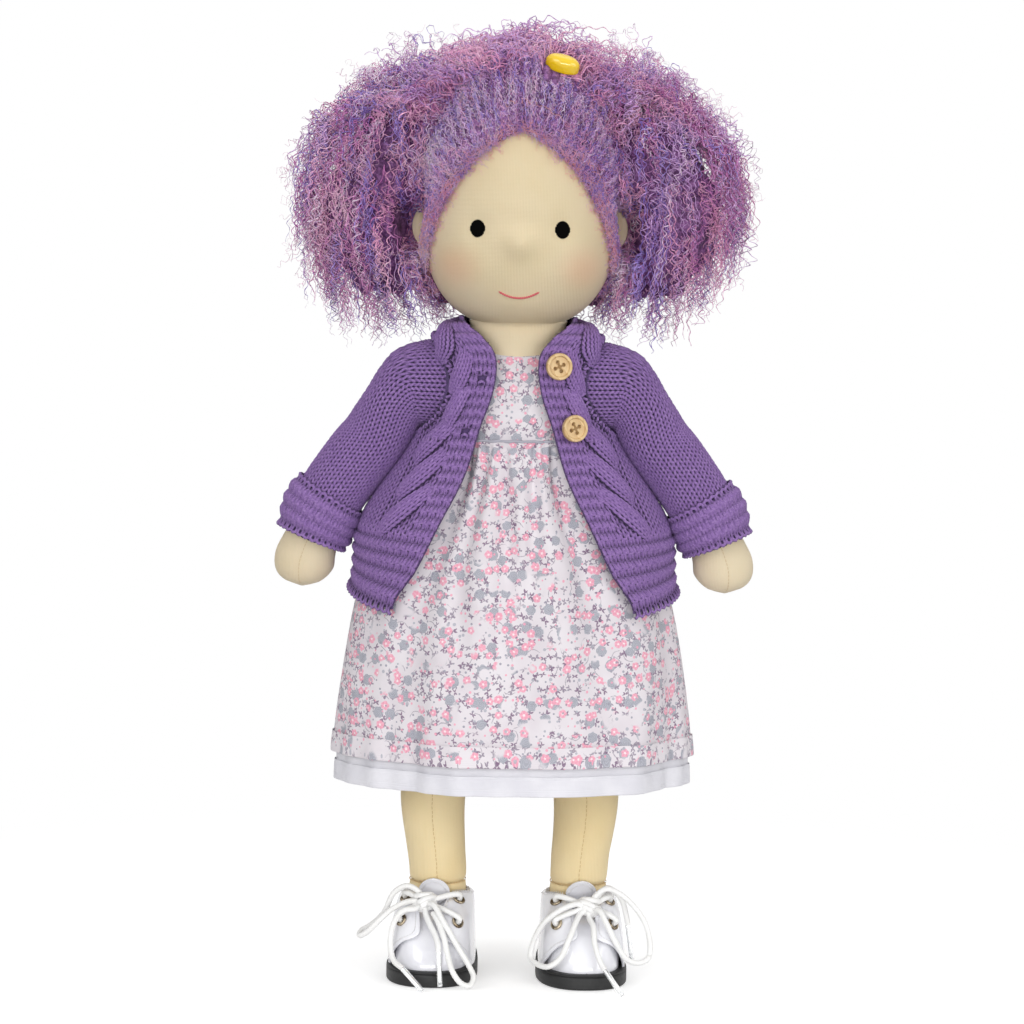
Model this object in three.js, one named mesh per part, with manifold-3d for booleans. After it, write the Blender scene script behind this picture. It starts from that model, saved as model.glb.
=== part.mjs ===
// A soft cloth doll that stands on its own shoes, in millimetres: +Z up, facing -Y, its own left side at +X.
// The origin is on the floor, midway between the shoes and under the ankles.
import * as THREE from "three";
import { mergeVertices } from "three/addons/utils/BufferGeometryUtils.js";
import Module from "manifold-3d";

const wasm = await Module();
wasm.setup();

// Clearances
const gap = 0.3;
const cutOverrun = 6;
const shortestEdge = 0.02;

// Legs and feet
const ankleHeight = 39;
const legLength = 111;
const ankleRadius = 12.3;
const calfRadius = 14.2;
const thighRadius = 17;
const ankleSpread = 30.5;
const calfSpread = 33;
const hipSpread = 22;
const calfShare = 0.36;

// Torso and neck
const torsoHeight = 100;
const torsoHalfWidth = 38;
const torsoHalfDepth = 27;
const neckLength = 13;
const neckHalfWidth = 21.3;
const neckHalfDepth = 19;
const waistShare = 0.63;
const shoulderShare = 0.86;

// Head and face
const headHeight = 102;
const headHalfWidth = 41;
const headHalfDepth = 43;
const headForward = 3;
const headWidestShare = 0.4;
const jawReachShare = 1.07;
const noseDepth = 3.2;
const noseSpread = 6.5;
const noseRise = 32.5;
const eyeSpacing = 17.6;
const eyeRise = 39.3;
const eyeHalfWidth = 3.1;
const eyeHalfHeight = 4;
const eyeThickness = 0.7;
const mouthRise = 13.2;
const mouthHalfWidth = 8.5;
const mouthSag = 2.6;
const mouthThread = 1;
const earRise = 40.5;
const earHalfHeight = 8;
const earHalfDepth = 5.5;
const earReach = 5;

// Wig cap, bunches and clip
const capThickness = 5.5;
const capCrown = 17;
const capNape = 7;
const hairlineHalfWidth = 39;
const hairlineRise = 81;
const hairlineFoot = 9;
const faceDepthShare = 0.34;
const hairlineCornerShare = 0.3;
const hairlineShoulderShare = 0.78;
const hairlineBulgeShare = 0.82;
const bunchHalfWidth = 46;
const bunchHalfDepth = 37;
const bunchHalfHeight = 65;
const bunchSpread = 55;
const bunchLean = 16;
const bunchBack = 12;
const bunchRise = 60.5;
const bunchLump = 2.6;
const clipLength = 14.6;
const clipWidth = 8;
const clipHeight = 3.4;
const clipSide = 16;
const clipForward = 24;

// Arms
const armReach = 56;
const armDrop = 88;
const upperArmRadius = 12;
const wristRadius = 11;
const handHalfWidth = 13;
const handHalfDepth = 10.5;

// Dress and petticoat
const dressThickness = 1.2;
const dressEase = 0.5;
const skirtLength = 134;
const hemHalfWidth = 77.5;
const hemHalfDepth = 58;
const foldDepth = 2.2;
const petticoatThickness = 1;
const petticoatShow = 12;

// Cardigan
const knitThickness = 3;
const cardiganEase = 1.8;
const cardiganLength = 113;
const frontDip = 9;
const collarRise = 1;
const collarEase = 2.4;
const frontNeckHalfGap = 10;
const frontTipSpread = 52;
const sleeveTopRadius = 18.6;
const sleeveRadius = 17.2;
const sleeveWristRadius = 16.4;
const cuffLength = 21;
const cuffThickness = 3.4;

// Buttons
const buttonDiameter = 11.5;
const buttonThickness = 2.8;
const buttonRim = 1.5;
const buttonDish = 0.8;
const buttonHole = 1.5;
const buttonHolePitch = 2.9;
const upperButtonDrop = 19;
const lowerButtonDrop = 45;
const buttonInset = 7.6;
const upperButtonSeat = 0.35;
const lowerButtonSeat = 1;

// Shoes
const toeOut = 0.09;
const soleFront = 42;
const soleBack = 18.5;
const soleHalfWidth = 19.2;
const soleBallShare = 0.13;
const soleThickness = 6.5;
const heelHeight = 13.5;
const heelLength = 17;
const archRise = 3.4;
const weltWidth = 1.9;
const leather = 1.2;
const quarterLayer = 1.05;
const collarHalfWidth = 13.6;
const collarHalfDepth = 14.8;
const collarFront = 29;
const collarCorner = 33.5;
const collarSide = 32.5;
const collarBack = 37;
const tongueRise = 12.5;
const tongueHalfAngle = 0.5;
const eyeletDiameter = 5.6;
const eyeletBore = 3;
const eyeletWall = 0.45;
const eyeletRimHeight = 1;

// Laces
const laceDiameter = 2.4;
const laceLift = 4;
const knotHalfWidth = 4.6;
const knotHalfDepth = 3;
const knotHalfHeight = 3.4;
const agletDiameter = 2.3;
const agletLength = 15;

// The run of each lace over the floor frame: its knot, its two loops, its two free ends and their tips.
const leftLace = {
  knot: [34.8, -25.5, 32.8],
  loop_inner: [
    [29.3, -28.4, 34.4],
    [22.4, -33, 32.6],
    [15.2, -30.6, 26],
    [11.3, -28, 17.6],
    [10.2, -28, 11.2],
    [13, -33, 9.2],
    [18, -38, 9.4],
    [22.8, -39, 13.4],
    [26, -38.5, 20.6],
    [28.8, -34.5, 27],
    [31, -29.6, 30.4],
  ],
  loop_outer: [
    [37.4, -25, 37.2],
    [42, -24.5, 40.4],
    [48.2, -24, 38],
    [54.8, -24, 32],
    [59.2, -24, 25],
    [61.2, -24.5, 16.4],
    [60.4, -25.5, 11],
    [56.2, -28, 9.4],
    [51, -31, 11.6],
    [46.4, -33.6, 18.8],
    [42, -33, 27.4],
    [39.4, -31, 31.8],
  ],
  end_front: [
    [34.9, -28.6, 28.6],
    [36.5, -33.4, 25.8],
    [37.3, -37.4, 18.6],
    [39.8, -40.6, 11.8],
    [41.4, -42.8, 9.4],
  ],
  end_outer: [
    [39, -21.6, 37],
    [42.8, -19.2, 39.8],
    [48.6, -19.2, 35.2],
    [50.8, -19.6, 28.6],
    [51.6, -20, 24.8],
  ],
  tip_front: [48.4, -53.6, 1.3],
  tip_outer: [53.6, -20.8, 10],
};
const rightLace = {
  knot: [-35.3, -25, 33.6],
  loop_inner: [
    [-31.4, -30.4, 33.4],
    [-27, -34.8, 27],
    [-20.8, -37.4, 17],
    [-16, -38.6, 9.4],
    [-13.8, -41, 4.8],
    [-15.4, -43.6, 1.8],
    [-19, -44.6, 3],
    [-22.8, -44, 8],
    [-25.2, -40.4, 15.2],
    [-26.8, -38, 21.4],
    [-30.4, -32, 28.4],
  ],
  loop_outer: [
    [-38, -23.6, 37.6],
    [-43.1, -22.6, 39.8],
    [-48.6, -22, 36.6],
    [-53, -21.4, 27.6],
    [-58, -21.4, 22.6],
    [-62.4, -22.6, 20],
    [-62.8, -26, 18.6],
    [-59, -28, 21.2],
    [-54.4, -28.4, 26],
    [-49.4, -28.6, 30.6],
    [-43.8, -28, 33.6],
    [-41, -26.6, 34],
  ],
  end_front: [
    [-34.8, -28.8, 29.4],
    [-33.4, -32.2, 26.4],
    [-30.2, -37.6, 21.4],
    [-29, -40.6, 18],
    [-28.8, -41.2, 16.2],
  ],
  end_outer: [
    [-39.4, -30.6, 31.6],
    [-44.5, -32, 30.8],
    [-48.2, -31.8, 25.4],
    [-49.4, -33.6, 17.4],
    [-47.8, -37.6, 10.8],
    [-44, -41.8, 8.4],
  ],
  tip_front: [-27.8, -45.2, 1.3],
  tip_outer: [-35, -52.6, 1.3],
};

// Heights that follow from the sizes above
const hipHeight = ankleHeight + legLength;
const torsoBottom = hipHeight + thighRadius + 2 * gap;
const neckBase = torsoBottom + torsoHeight;
const headBottom = neckBase + neckLength;
const headWidest = headBottom + headWidestShare * headHeight;
const waistHeight = torsoBottom + waistShare * torsoHeight;
const shoulderHeight = torsoBottom + shoulderShare * torsoHeight;

// Colours and finishes
const jersey = new THREE.MeshStandardMaterial({ color: 0xebd9b4, roughness: 0.9 });
const legJersey = new THREE.MeshStandardMaterial({ color: 0xecd6a2, roughness: 0.9 });
const eyeThread = new THREE.MeshStandardMaterial({ color: 0x14110f, roughness: 0.6 });
const mouthCotton = new THREE.MeshStandardMaterial({ color: 0xe07080, roughness: 0.7 });
const mohair = new THREE.MeshStandardMaterial({ color: 0x9a74b8, roughness: 1 });
const clipPlastic = new THREE.MeshStandardMaterial({ color: 0xf7cf10, roughness: 0.25 });
const printedCotton = new THREE.MeshStandardMaterial({ color: 0xf0e6ea, roughness: 0.85 });
const whiteCotton = new THREE.MeshStandardMaterial({ color: 0xf6f6f8, roughness: 0.85 });
const purpleWool = new THREE.MeshStandardMaterial({ color: 0x7a5aae, roughness: 0.95 });
const paleWood = new THREE.MeshStandardMaterial({ color: 0xdebd8c, roughness: 0.55 });
const patentLeather = new THREE.MeshStandardMaterial({ color: 0xececf0, roughness: 0.15 });
const blackRubber = new THREE.MeshStandardMaterial({ color: 0x151517, roughness: 0.6 });
const antiqueMetal = new THREE.MeshStandardMaterial({ color: 0xa08c6c, roughness: 0.3, metalness: 1 });
const laceCotton = new THREE.MeshStandardMaterial({ color: 0xf4f3f0, roughness: 0.9 });
const clearPlastic = new THREE.MeshStandardMaterial({ color: 0xd8dee2, roughness: 0.15 });

// Curves and share tables

const mix = (a, b, t) => a + (b - a) * t;

// A smooth curve through rows of [place, value], with level ends.
function curveThrough(rows) {
  const slope = (i) => {
    const before = rows[i - 1];
    const after = rows[i + 1];
    return before && after ? (after[1] - before[1]) / (after[0] - before[0]) : 0;
  };
  return (place) => {
    if (place <= rows[0][0]) return rows[0][1];
    const last = rows.length - 1;
    if (place >= rows[last][0]) return rows[last][1];
    const i = rows.findIndex((row) => row[0] > place) - 1;
    const width = rows[i + 1][0] - rows[i][0];
    const t = (place - rows[i][0]) / width;
    const rise = t * t * (3 - 2 * t);
    const lead = t * (1 - t) * (1 - t) * slope(i) * width;
    const trail = t * t * (1 - t) * slope(i + 1) * width;
    return mix(rows[i][1], rows[i + 1][1], rise) + lead - trail;
  };
}

const shares = (count) => Array.from({ length: count + 1 }, (_, i) => i / count);
const turns = (count) => Array.from({ length: count }, (_, i) => (i / count) * 2 * Math.PI);

// Solids

function geometryFrom(points, faces) {
  let volume = 0;
  for (const [a, b, c] of faces) {
    volume += points[a].dot(new THREE.Vector3().crossVectors(points[b], points[c]));
  }
  const index = volume < 0 ? faces.map(([a, b, c]) => [a, c, b]) : faces;
  const geometry = new THREE.BufferGeometry();
  geometry.setAttribute(
    "position",
    new THREE.Float32BufferAttribute(points.flatMap((p) => p.toArray()), 3),
  );
  geometry.setIndex(index.flat());
  return geometry;
}

// A solid skinned over rings of equal point counts, closed by a fan at each end.
function loft(rings, firstTip, lastTip) {
  const sides = rings[0].length;
  const points = rings.flat();
  const middle = (ring) =>
    ring.reduce((sum, p) => sum.add(p), new THREE.Vector3()).divideScalar(sides);
  const first = points.push(firstTip ?? middle(rings[0])) - 1;
  const last = points.push(lastTip ?? middle(rings[rings.length - 1])) - 1;
  const faces = [];
  for (let j = 0; j < sides; j += 1) {
    const next = (j + 1) % sides;
    faces.push([first, next, j]);
    for (let i = 0; i < rings.length - 1; i += 1) {
      const low = i * sides;
      const high = low + sides;
      faces.push([low + j, low + next, high + next], [low + j, high + next, high + j]);
    }
    const top = (rings.length - 1) * sides;
    faces.push([top + j, top + next, last]);
  }
  return geometryFrom(points, faces);
}

// A wall between two grids of points: closed round its columns, or with four open edges filled.
function wall(outer, inner, round) {
  const rows = outer.length;
  const columns = outer[0].length;
  const points = [...outer.flat(), ...inner.flat()];
  const skin = rows * columns;
  const faces = [];
  const quad = (a, b, c, d) => faces.push([a, b, c], [a, c, d]);
  const spans = round ? columns : columns - 1;
  for (let j = 0; j < spans; j += 1) {
    const k = (j + 1) % columns;
    for (let i = 0; i < rows - 1; i += 1) {
      const low = i * columns;
      const high = low + columns;
      quad(low + j, low + k, high + k, high + j);
      quad(skin + high + k, skin + low + k, skin + low + j, skin + high + j);
    }
    const top = (rows - 1) * columns;
    quad(k, j, skin + j, skin + k);
    quad(top + j, top + k, skin + top + k, skin + top + j);
  }
  if (!round) {
    const end = columns - 1;
    for (let i = 0; i < rows - 1; i += 1) {
      const low = i * columns;
      const high = low + columns;
      quad(low, high, skin + high, skin + low);
      quad(high + end, low + end, skin + low + end, skin + high + end);
    }
  }
  return geometryFrom(points, faces);
}

function solidOf(geometry) {
  const bare = geometry.clone();
  bare.deleteAttribute("normal");
  bare.deleteAttribute("uv");
  const merged = mergeVertices(bare);
  return new wasm.Manifold(
    new wasm.Mesh({
      numProp: 3,
      vertProperties: new Float32Array(merged.attributes.position.array),
      triVerts: new Uint32Array(merged.index.array),
    }),
  );
}

function geometryOf(solid) {
  const made = solid.simplify(shortestEdge).getMesh();
  const geometry = new THREE.BufferGeometry();
  geometry.setAttribute("position", new THREE.BufferAttribute(made.vertProperties, 3));
  geometry.setIndex(new THREE.BufferAttribute(made.triVerts, 1));
  return geometry;
}

const join = (first, ...others) =>
  geometryOf(others.reduce((sum, part) => sum.add(solidOf(part)), solidOf(first)));
const cut = (first, ...others) =>
  geometryOf(others.reduce((rest, part) => rest.subtract(solidOf(part)), solidOf(first)));
const common = (first, second) => geometryOf(solidOf(first).intersect(solidOf(second)));

const at = (x, y, z) => new THREE.Vector3(x, y, z);

const ellipse = (centre, halfWidth, halfDepth, angles) =>
  angles.map((a) =>
    at(centre.x + halfWidth * Math.cos(a), centre.y + halfDepth * Math.sin(a), centre.z),
  );

function ellipsoid(centre, half, columns, rows) {
  const made = new THREE.SphereGeometry(1, columns, rows);
  made.rotateX(Math.PI / 2);
  made.scale(half.x, half.y, half.z);
  made.translate(centre.x, centre.y, centre.z);
  return made;
}

function cylinderAlongX(radius, fromX, toX, height) {
  const made = new THREE.CylinderGeometry(radius, radius, toX - fromX, 22);
  made.rotateZ(Math.PI / 2);
  made.translate((fromX + toX) / 2, 0, height);
  return made;
}

// A round cord along a smooth curve, with flat ends.
function cordAlong(points, diameter, steps, sides) {
  const section = new THREE.Shape(
    turns(sides).map(
      (a) => new THREE.Vector2(Math.cos(a), Math.sin(a)).multiplyScalar(diameter / 2),
    ),
  );
  const extrudePath = new THREE.CatmullRomCurve3(points);
  return new THREE.ExtrudeGeometry(section, { steps, extrudePath, bevelEnabled: false });
}

function piece(name, geometry, material) {
  const mesh = new THREE.Mesh(geometry, material);
  mesh.name = name;
  return mesh;
}

function place(mesh, point, facing) {
  mesh.position.copy(point);
  mesh.quaternion.setFromUnitVectors(at(0, 0, 1), facing);
  return mesh;
}

// Body forms that the clothes follow

const torsoWidthShares = [
  [0, 0.8],
  [0.05, 0.93],
  [0.17, 1],
  [0.4, 0.93],
  [0.63, 0.87],
  [0.8, 0.92],
  [0.88, 0.91],
  [0.94, 0.8],
  [1, 0.59],
];
const torsoDepthShares = [
  [0, 0.74],
  [0.05, 0.9],
  [0.17, 1],
  [0.4, 1],
  [0.63, 0.94],
  [0.8, 0.92],
  [0.88, 0.86],
  [0.94, 0.8],
  [1, 0.72],
];
const torsoWidthAt = curveThrough(torsoWidthShares);
const torsoDepthAt = curveThrough(torsoDepthShares);

function torsoAt(height) {
  const share = (height - torsoBottom) / torsoHeight;
  return {
    halfWidth: torsoHalfWidth * torsoWidthAt(share),
    halfDepth: torsoHalfDepth * torsoDepthAt(share),
  };
}

const flareShares = [
  [0, 0],
  [0.1, 0.12],
  [0.24, 0.36],
  [0.34, 0.55],
  [0.42, 0.69],
  [0.53, 0.82],
  [0.75, 0.94],
  [1, 1],
];
const flareAt = curveThrough(flareShares);
const foldCounts = [7, 11];
const foldPhases = [0.5, 1.7];
const foldWeightShares = [0.6, 0.4];

const foldAt = (angle, share) =>
  foldDepth *
  Math.min(share, 1) ** 2 *
  foldWeightShares.reduce(
    (sum, weight, i) => sum + weight * Math.cos(foldCounts[i] * angle + foldPhases[i]),
    0,
  );

const waist = torsoAt(waistHeight);
const dressReach = dressEase + petticoatThickness + gap + dressThickness;
const skirtTopHalfWidth = waist.halfWidth + dressReach;
const skirtTopHalfDepth = waist.halfDepth + dressReach;

// The outside of the skirt without its folds, at a share of its length below the waist.
function skirtAt(share) {
  return {
    halfWidth: mix(skirtTopHalfWidth, hemHalfWidth, flareAt(share)),
    halfDepth: mix(skirtTopHalfDepth, hemHalfDepth, flareAt(share)),
  };
}

function skirtPoint(angle, share, inset) {
  const size = skirtAt(share);
  const out = foldAt(angle, share) - inset;
  return at(
    (size.halfWidth + out) * Math.cos(angle),
    (size.halfDepth + out) * Math.sin(angle),
    waistHeight - gap - share * skirtLength,
  );
}

// The cardigan's inner face, from its hem up to the neck edge.
const collarHeight = headBottom + collarRise;
const collarHalfWidthInside = neckHalfWidth + collarEase;
const collarHalfDepthInside = neckHalfDepth + collarEase;
const yokeWidthShares = [
  [0, 1],
  [0.3, 0.99],
  [0.55, 0.94],
  [0.75, 0.76],
  [0.9, 0.42],
  [1, 0],
];
const yokeWidthAt = curveThrough(yokeWidthShares);

function cardiganInside(height) {
  const chest = torsoAt(Math.min(height, shoulderHeight));
  const reach = dressEase + dressThickness + cardiganEase;
  if (height >= shoulderHeight) {
    const share = yokeWidthAt((height - shoulderHeight) / (collarHeight - shoulderHeight));
    return {
      halfWidth: mix(collarHalfWidthInside, chest.halfWidth + reach, share),
      halfDepth: mix(collarHalfDepthInside, chest.halfDepth + reach, share),
    };
  }
  const over = height < waistHeight ? skirtAt((waistHeight - height) / skirtLength) : null;
  const rest = Math.max(0, (waistHeight - height) / skirtLength);
  const folds = foldDepth * rest ** 2 + 3 * gap;
  return {
    halfWidth: Math.max(chest.halfWidth + reach, over ? over.halfWidth + folds + gap : 0),
    halfDepth: Math.max(chest.halfDepth + reach, over ? over.halfDepth + folds + gap : 0),
  };
}

// Head

const headCentre = at(0, -headForward, 0);
const jawPower = 2.3;
const crownPower = 2.05;
const jawHeight = headWidest - headBottom;
const crownHeight = headBottom + headHeight - headWidest;

// How wide the head is at a height, as a share of its widest, with an even layer added outside it.
function headShare(height, layer, crown) {
  const below = height < headWidest;
  const reach = below ? jawHeight * jawReachShare + layer : crownHeight + crown;
  const power = below ? jawPower : crownPower;
  const rise = Math.min(1, Math.abs(height - headWidest) / reach);
  return (1 - rise ** power) ** (1 / power);
}

const noseAt = (x, height) => {
  const along = (height - headBottom - noseRise) / noseSpread;
  return noseDepth * Math.exp(-((x / noseSpread) ** 2) - along ** 2);
};

function facePoint(x, height) {
  const share = headShare(height, 0, 0);
  const across = x / (headHalfWidth * share);
  const depth = headHalfDepth * share * Math.sqrt(Math.max(0, 1 - across ** 2));
  return at(x, -headForward - depth - noseAt(x, height), height);
}

function faceNormal(x, height) {
  const step = gap;
  const side = facePoint(x + step, height).sub(facePoint(x - step, height));
  const rise = facePoint(x, height + step).sub(facePoint(x, height - step));
  return side.cross(rise).normalize();
}

const headColumns = 20;
const jawRowShares = [1, 0.93, 0.8, 0.62, 0.42, 0.2];
const crownRowShares = [0, 0.2, 0.4, 0.58, 0.74, 0.87, 0.96];

// The head with a layer added outside it, and more at the crown.
function headSolid(layer, crown) {
  const heights = [
    ...jawRowShares.map((s) => headWidest - s * (jawHeight + layer)),
    ...crownRowShares.map((s) => headWidest + s * (crownHeight + crown)),
  ];
  const rings = heights.map((height) => {
    const share = headShare(height, layer, crown);
    const ring = ellipse(
      at(headCentre.x, headCentre.y, height),
      (headHalfWidth + layer) * share,
      (headHalfDepth + layer) * share,
      turns(headColumns),
    );
    if (!layer) ring.forEach((p) => (p.y -= p.y < headCentre.y ? noseAt(p.x, height) : 0));
    return ring;
  });
  return loft(rings, null, at(0, headCentre.y, headWidest + crownHeight + crown));
}

function earSolid(side, layer) {
  return ellipsoid(
    at(side * headHalfWidth, 0, headBottom + earRise),
    at(earReach + layer, earHalfDepth + layer, earHalfHeight + layer),
    12,
    8,
  );
}

function eyeSolid() {
  const profile = [
    new THREE.Vector2(0, 1),
    new THREE.Vector2(0.6, 0.8),
    new THREE.Vector2(0.92, 0.4),
    new THREE.Vector2(1, 0),
    new THREE.Vector2(0, 0),
  ];
  const made = new THREE.LatheGeometry(profile.reverse(), 14);
  made.rotateX(Math.PI / 2);
  made.scale(eyeHalfWidth, eyeHalfHeight, eyeThickness);
  return made;
}

function mouthSolid() {
  const points = shares(8).map((s) => {
    const x = mix(-mouthHalfWidth, mouthHalfWidth, s);
    const height = headBottom + mouthRise - mouthSag * (1 - (x / mouthHalfWidth) ** 2);
    const lift = faceNormal(x, height).multiplyScalar(mouthThread / 2 + gap);
    return facePoint(x, height).add(lift);
  });
  return cordAlong(points, mouthThread, 8, 6);
}

// The arched outline of the face, seen from the front.
function faceOpening() {
  const foot = headBottom + hairlineFoot;
  const rise = hairlineRise - hairlineFoot;
  const outline = new THREE.Shape();
  outline.moveTo(-hairlineHalfWidth, foot - cutOverrun - capNape);
  outline.lineTo(hairlineHalfWidth, foot - cutOverrun - capNape);
  const corner = foot + rise * hairlineCornerShare;
  const shoulder = hairlineHalfWidth * hairlineShoulderShare;
  const bulge = foot + rise * hairlineBulgeShare;
  outline.lineTo(hairlineHalfWidth, corner);
  outline.quadraticCurveTo(shoulder, bulge, 0, foot + rise);
  outline.quadraticCurveTo(-shoulder, bulge, -hairlineHalfWidth, corner);
  const depth = headHalfDepth * (1 - faceDepthShare) + capThickness + cutOverrun;
  const made = new THREE.ExtrudeGeometry(outline, { depth, bevelEnabled: false, curveSegments: 6 });
  made.rotateX(Math.PI / 2);
  made.translate(0, headCentre.y - headHalfDepth * faceDepthShare, 0);
  return made;
}

function wigCap() {
  const outside = headSolid(capThickness, capCrown);
  const inside = headSolid(2 * gap, 2 * gap);
  const below = new THREE.BoxGeometry(4 * headHalfWidth, 4 * headHalfDepth, headHeight);
  below.translate(0, 0, headBottom + capNape - headHeight / 2);
  return cut(outside, inside, below, faceOpening(), earSolid(1, gap), earSolid(-1, gap));
}

const bunchColumns = 22;
const bunchRows = 12;

// One bunch of hair: a lumpy mass beside and over the cap, hollowed where it lies on the cap and the ears.
function hairBunch() {
  const centre = at(bunchSpread, bunchBack, headBottom + bunchRise);
  const lump = (a, b) =>
    bunchLump * (Math.sin(5 * a + 2 * Math.sin(3 * b)) + 0.6 * Math.cos(7 * b + 2 * a));
  const lean = (polar) => -bunchLean * Math.cos(polar);
  const rings = shares(bunchRows)
    .slice(1, -1)
    .map((s) => {
      const polar = Math.PI * (1 - s);
      const height = centre.z + bunchHalfHeight * Math.cos(polar);
      return turns(bunchColumns).map((a) => {
        const out = 1 + lump(a, polar) / bunchHalfWidth;
        const share = Math.sin(polar) ** 0.8 * out;
        return at(
          centre.x + lean(polar) + bunchHalfWidth * share * Math.cos(a),
          centre.y + bunchHalfDepth * share * Math.sin(a),
          height,
        );
      });
    });
  const tip = (way) => at(centre.x - way * bunchLean, centre.y, centre.z + way * bunchHalfHeight);
  const mass = loft(rings, tip(-1), tip(1));
  const cap = headSolid(capThickness + gap, capCrown + gap);
  const middle = new THREE.BoxGeometry(
    2 * bunchHalfWidth,
    4 * bunchHalfDepth,
    4 * bunchHalfHeight,
  );
  middle.translate(gap - bunchHalfWidth, centre.y, centre.z);
  return cut(mass, cap, middle, earSolid(1, gap + capThickness));
}

function clipSolid() {
  const profile = [
    new THREE.Vector2(0, -0.5),
    new THREE.Vector2(1, -0.5),
    new THREE.Vector2(1, 0),
    new THREE.Vector2(0.97, 0.35),
    new THREE.Vector2(0.82, 0.68),
    new THREE.Vector2(0.5, 0.92),
    new THREE.Vector2(0, 1),
  ];
  const made = new THREE.LatheGeometry(profile, 18);
  made.rotateX(Math.PI / 2);
  made.scale(clipLength / 2, clipWidth / 2, clipHeight);
  return made;
}

// A turned wooden button: a raised rim round a dished middle with four holes.
function buttonSolid() {
  const radius = buttonDiameter / 2;
  const floor = buttonThickness - buttonDish;
  const profile = [
    new THREE.Vector2(0, 0),
    new THREE.Vector2(0.86 * radius, 0),
    new THREE.Vector2(radius, 0.35 * buttonThickness),
    new THREE.Vector2(0.95 * radius, 0.85 * buttonThickness),
    new THREE.Vector2(radius - buttonRim / 2, buttonThickness),
    new THREE.Vector2(radius - buttonRim, floor),
    new THREE.Vector2(0, floor),
  ];
  const made = new THREE.LatheGeometry(profile, 20);
  made.rotateX(Math.PI / 2);
  const holes = turns(4).map((a) => {
    const hole = new THREE.CylinderGeometry(buttonHole / 2, buttonHole / 2, cutOverrun, 8);
    hole.rotateX(Math.PI / 2);
    const out = buttonHolePitch / Math.SQRT2;
    hole.translate(out * Math.cos(a + Math.PI / 4), out * Math.sin(a + Math.PI / 4), 0);
    return hole;
  });
  return cut(made, ...holes);
}

const doll = new THREE.Group();
doll.name = "waldorf_doll";

const head = new THREE.Group();
head.add(piece("head", headSolid(0, 0), jersey));
for (const [name, side] of [
  ["left", 1],
  ["right", -1],
]) {
  const ear = cut(earSolid(side, 0), headSolid(gap, gap));
  head.add(piece("ear_" + name, ear, jersey));
  const eyeHeight = headBottom + eyeRise;
  const eyeSide = side * eyeSpacing;
  const facing = faceNormal(eyeSide, eyeHeight);
  const seat = facePoint(eyeSide, eyeHeight).addScaledVector(facing, -gap / 2);
  head.add(place(piece("eye_" + name, eyeSolid(), eyeThread), seat, facing));
}
head.add(piece("mouth_stitch", mouthSolid(), mouthCotton));
head.add(piece("wig_cap", wigCap(), mohair));
head.add(piece("hair_bunch_left", hairBunch(), mohair));
const mirroredBunch = piece("hair_bunch_right", hairBunch(), mohair);
mirroredBunch.scale.x = -1;
head.add(mirroredBunch);

const clipHeightAt = (() => {
  const across = (clipSide / (headHalfWidth + capThickness)) ** 2;
  const along = ((clipForward - headForward) / (headHalfDepth + capThickness)) ** 2;
  return headWidest + (crownHeight + capCrown) * Math.sqrt(1 - across - along);
})();
const clipFacing = at(0.2, -0.55, 1).normalize();
const clipTurn = -0.2;

// The clip sits on the cap, its underside shaped to it.
function seatedClip() {
  const placed = new THREE.Object3D();
  placed.position.set(clipSide, -clipForward, clipHeightAt);
  placed.quaternion.setFromUnitVectors(at(0, 0, 1), clipFacing);
  placed.rotateZ(clipTurn);
  placed.updateMatrix();
  const made = clipSolid().applyMatrix4(placed.matrix);
  return cut(made, headSolid(capThickness + gap, capCrown + gap));
}

head.add(piece("hair_clip", seatedClip(), clipPlastic));
doll.add(head);

// Torso, dress and cardigan

const bodyColumns = 20;
const torsoRowShares = [0, 0.05, 0.17, 0.3, 0.45, 0.63, 0.75, 0.84, 0.9, 0.95, 1];
const neckRowShares = [0.3, 1];

function torsoSolid() {
  const angles = turns(bodyColumns);
  const rings = torsoRowShares.map((s) => {
    const height = torsoBottom + s * torsoHeight;
    const size = torsoAt(height);
    return ellipse(at(0, 0, height), size.halfWidth, size.halfDepth, angles);
  });
  const neckHeights = neckRowShares.map((s) => neckBase + s * (neckLength - gap));
  const neck = neckHeights.map((z) => ellipse(at(0, 0, z), neckHalfWidth, neckHalfDepth, angles));
  return loft([...rings, ...neck]);
}

function grown(size, layer) {
  return { halfWidth: size.halfWidth + layer, halfDepth: size.halfDepth + layer };
}

// A wall between two layers over a family of sizes by height.
function layeredRing(heights, sizeAt, innerLayer, outerLayer, angles, round) {
  const grid = (layer) =>
    heights.map((height) => {
      const size = grown(sizeAt(height), layer);
      return ellipse(at(0, 0, height), size.halfWidth, size.halfDepth, angles);
    });
  return wall(grid(outerLayer), grid(innerLayer), round);
}

const armholeRadius = sleeveTopRadius + 9 * gap;

function bodice() {
  const heights = [
    waistHeight + gap,
    ...torsoRowShares.filter((s) => s > waistShare).map((s) => torsoBottom + s * torsoHeight),
  ];
  const shell = layeredRing(
    heights,
    torsoAt,
    dressEase,
    dressEase + dressThickness,
    turns(bodyColumns),
    true,
  );
  const reach = torsoHalfWidth + cutOverrun;
  return cut(shell, cylinderAlongX(upperArmRadius + gap, -reach, reach, shoulderHeight));
}

const skirtColumns = 36;
const skirtRowShares = [0, 0.1, 0.24, 0.4, 0.58, 0.79, 1];

function skirt() {
  const grid = (inset) =>
    skirtRowShares.map((s) => turns(skirtColumns).map((a) => skirtPoint(a, s, inset)));
  return wall(grid(0), grid(dressThickness), true);
}

function petticoat() {
  const ends = 1 + petticoatShow / skirtLength;
  const grid = (inset) =>
    [...skirtRowShares, ends].map((s) =>
      turns(skirtColumns).map((a) => skirtPoint(a, s, inset)),
    );
  const outside = dressThickness + gap;
  return wall(grid(outside), grid(outside + petticoatThickness), true);
}

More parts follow.
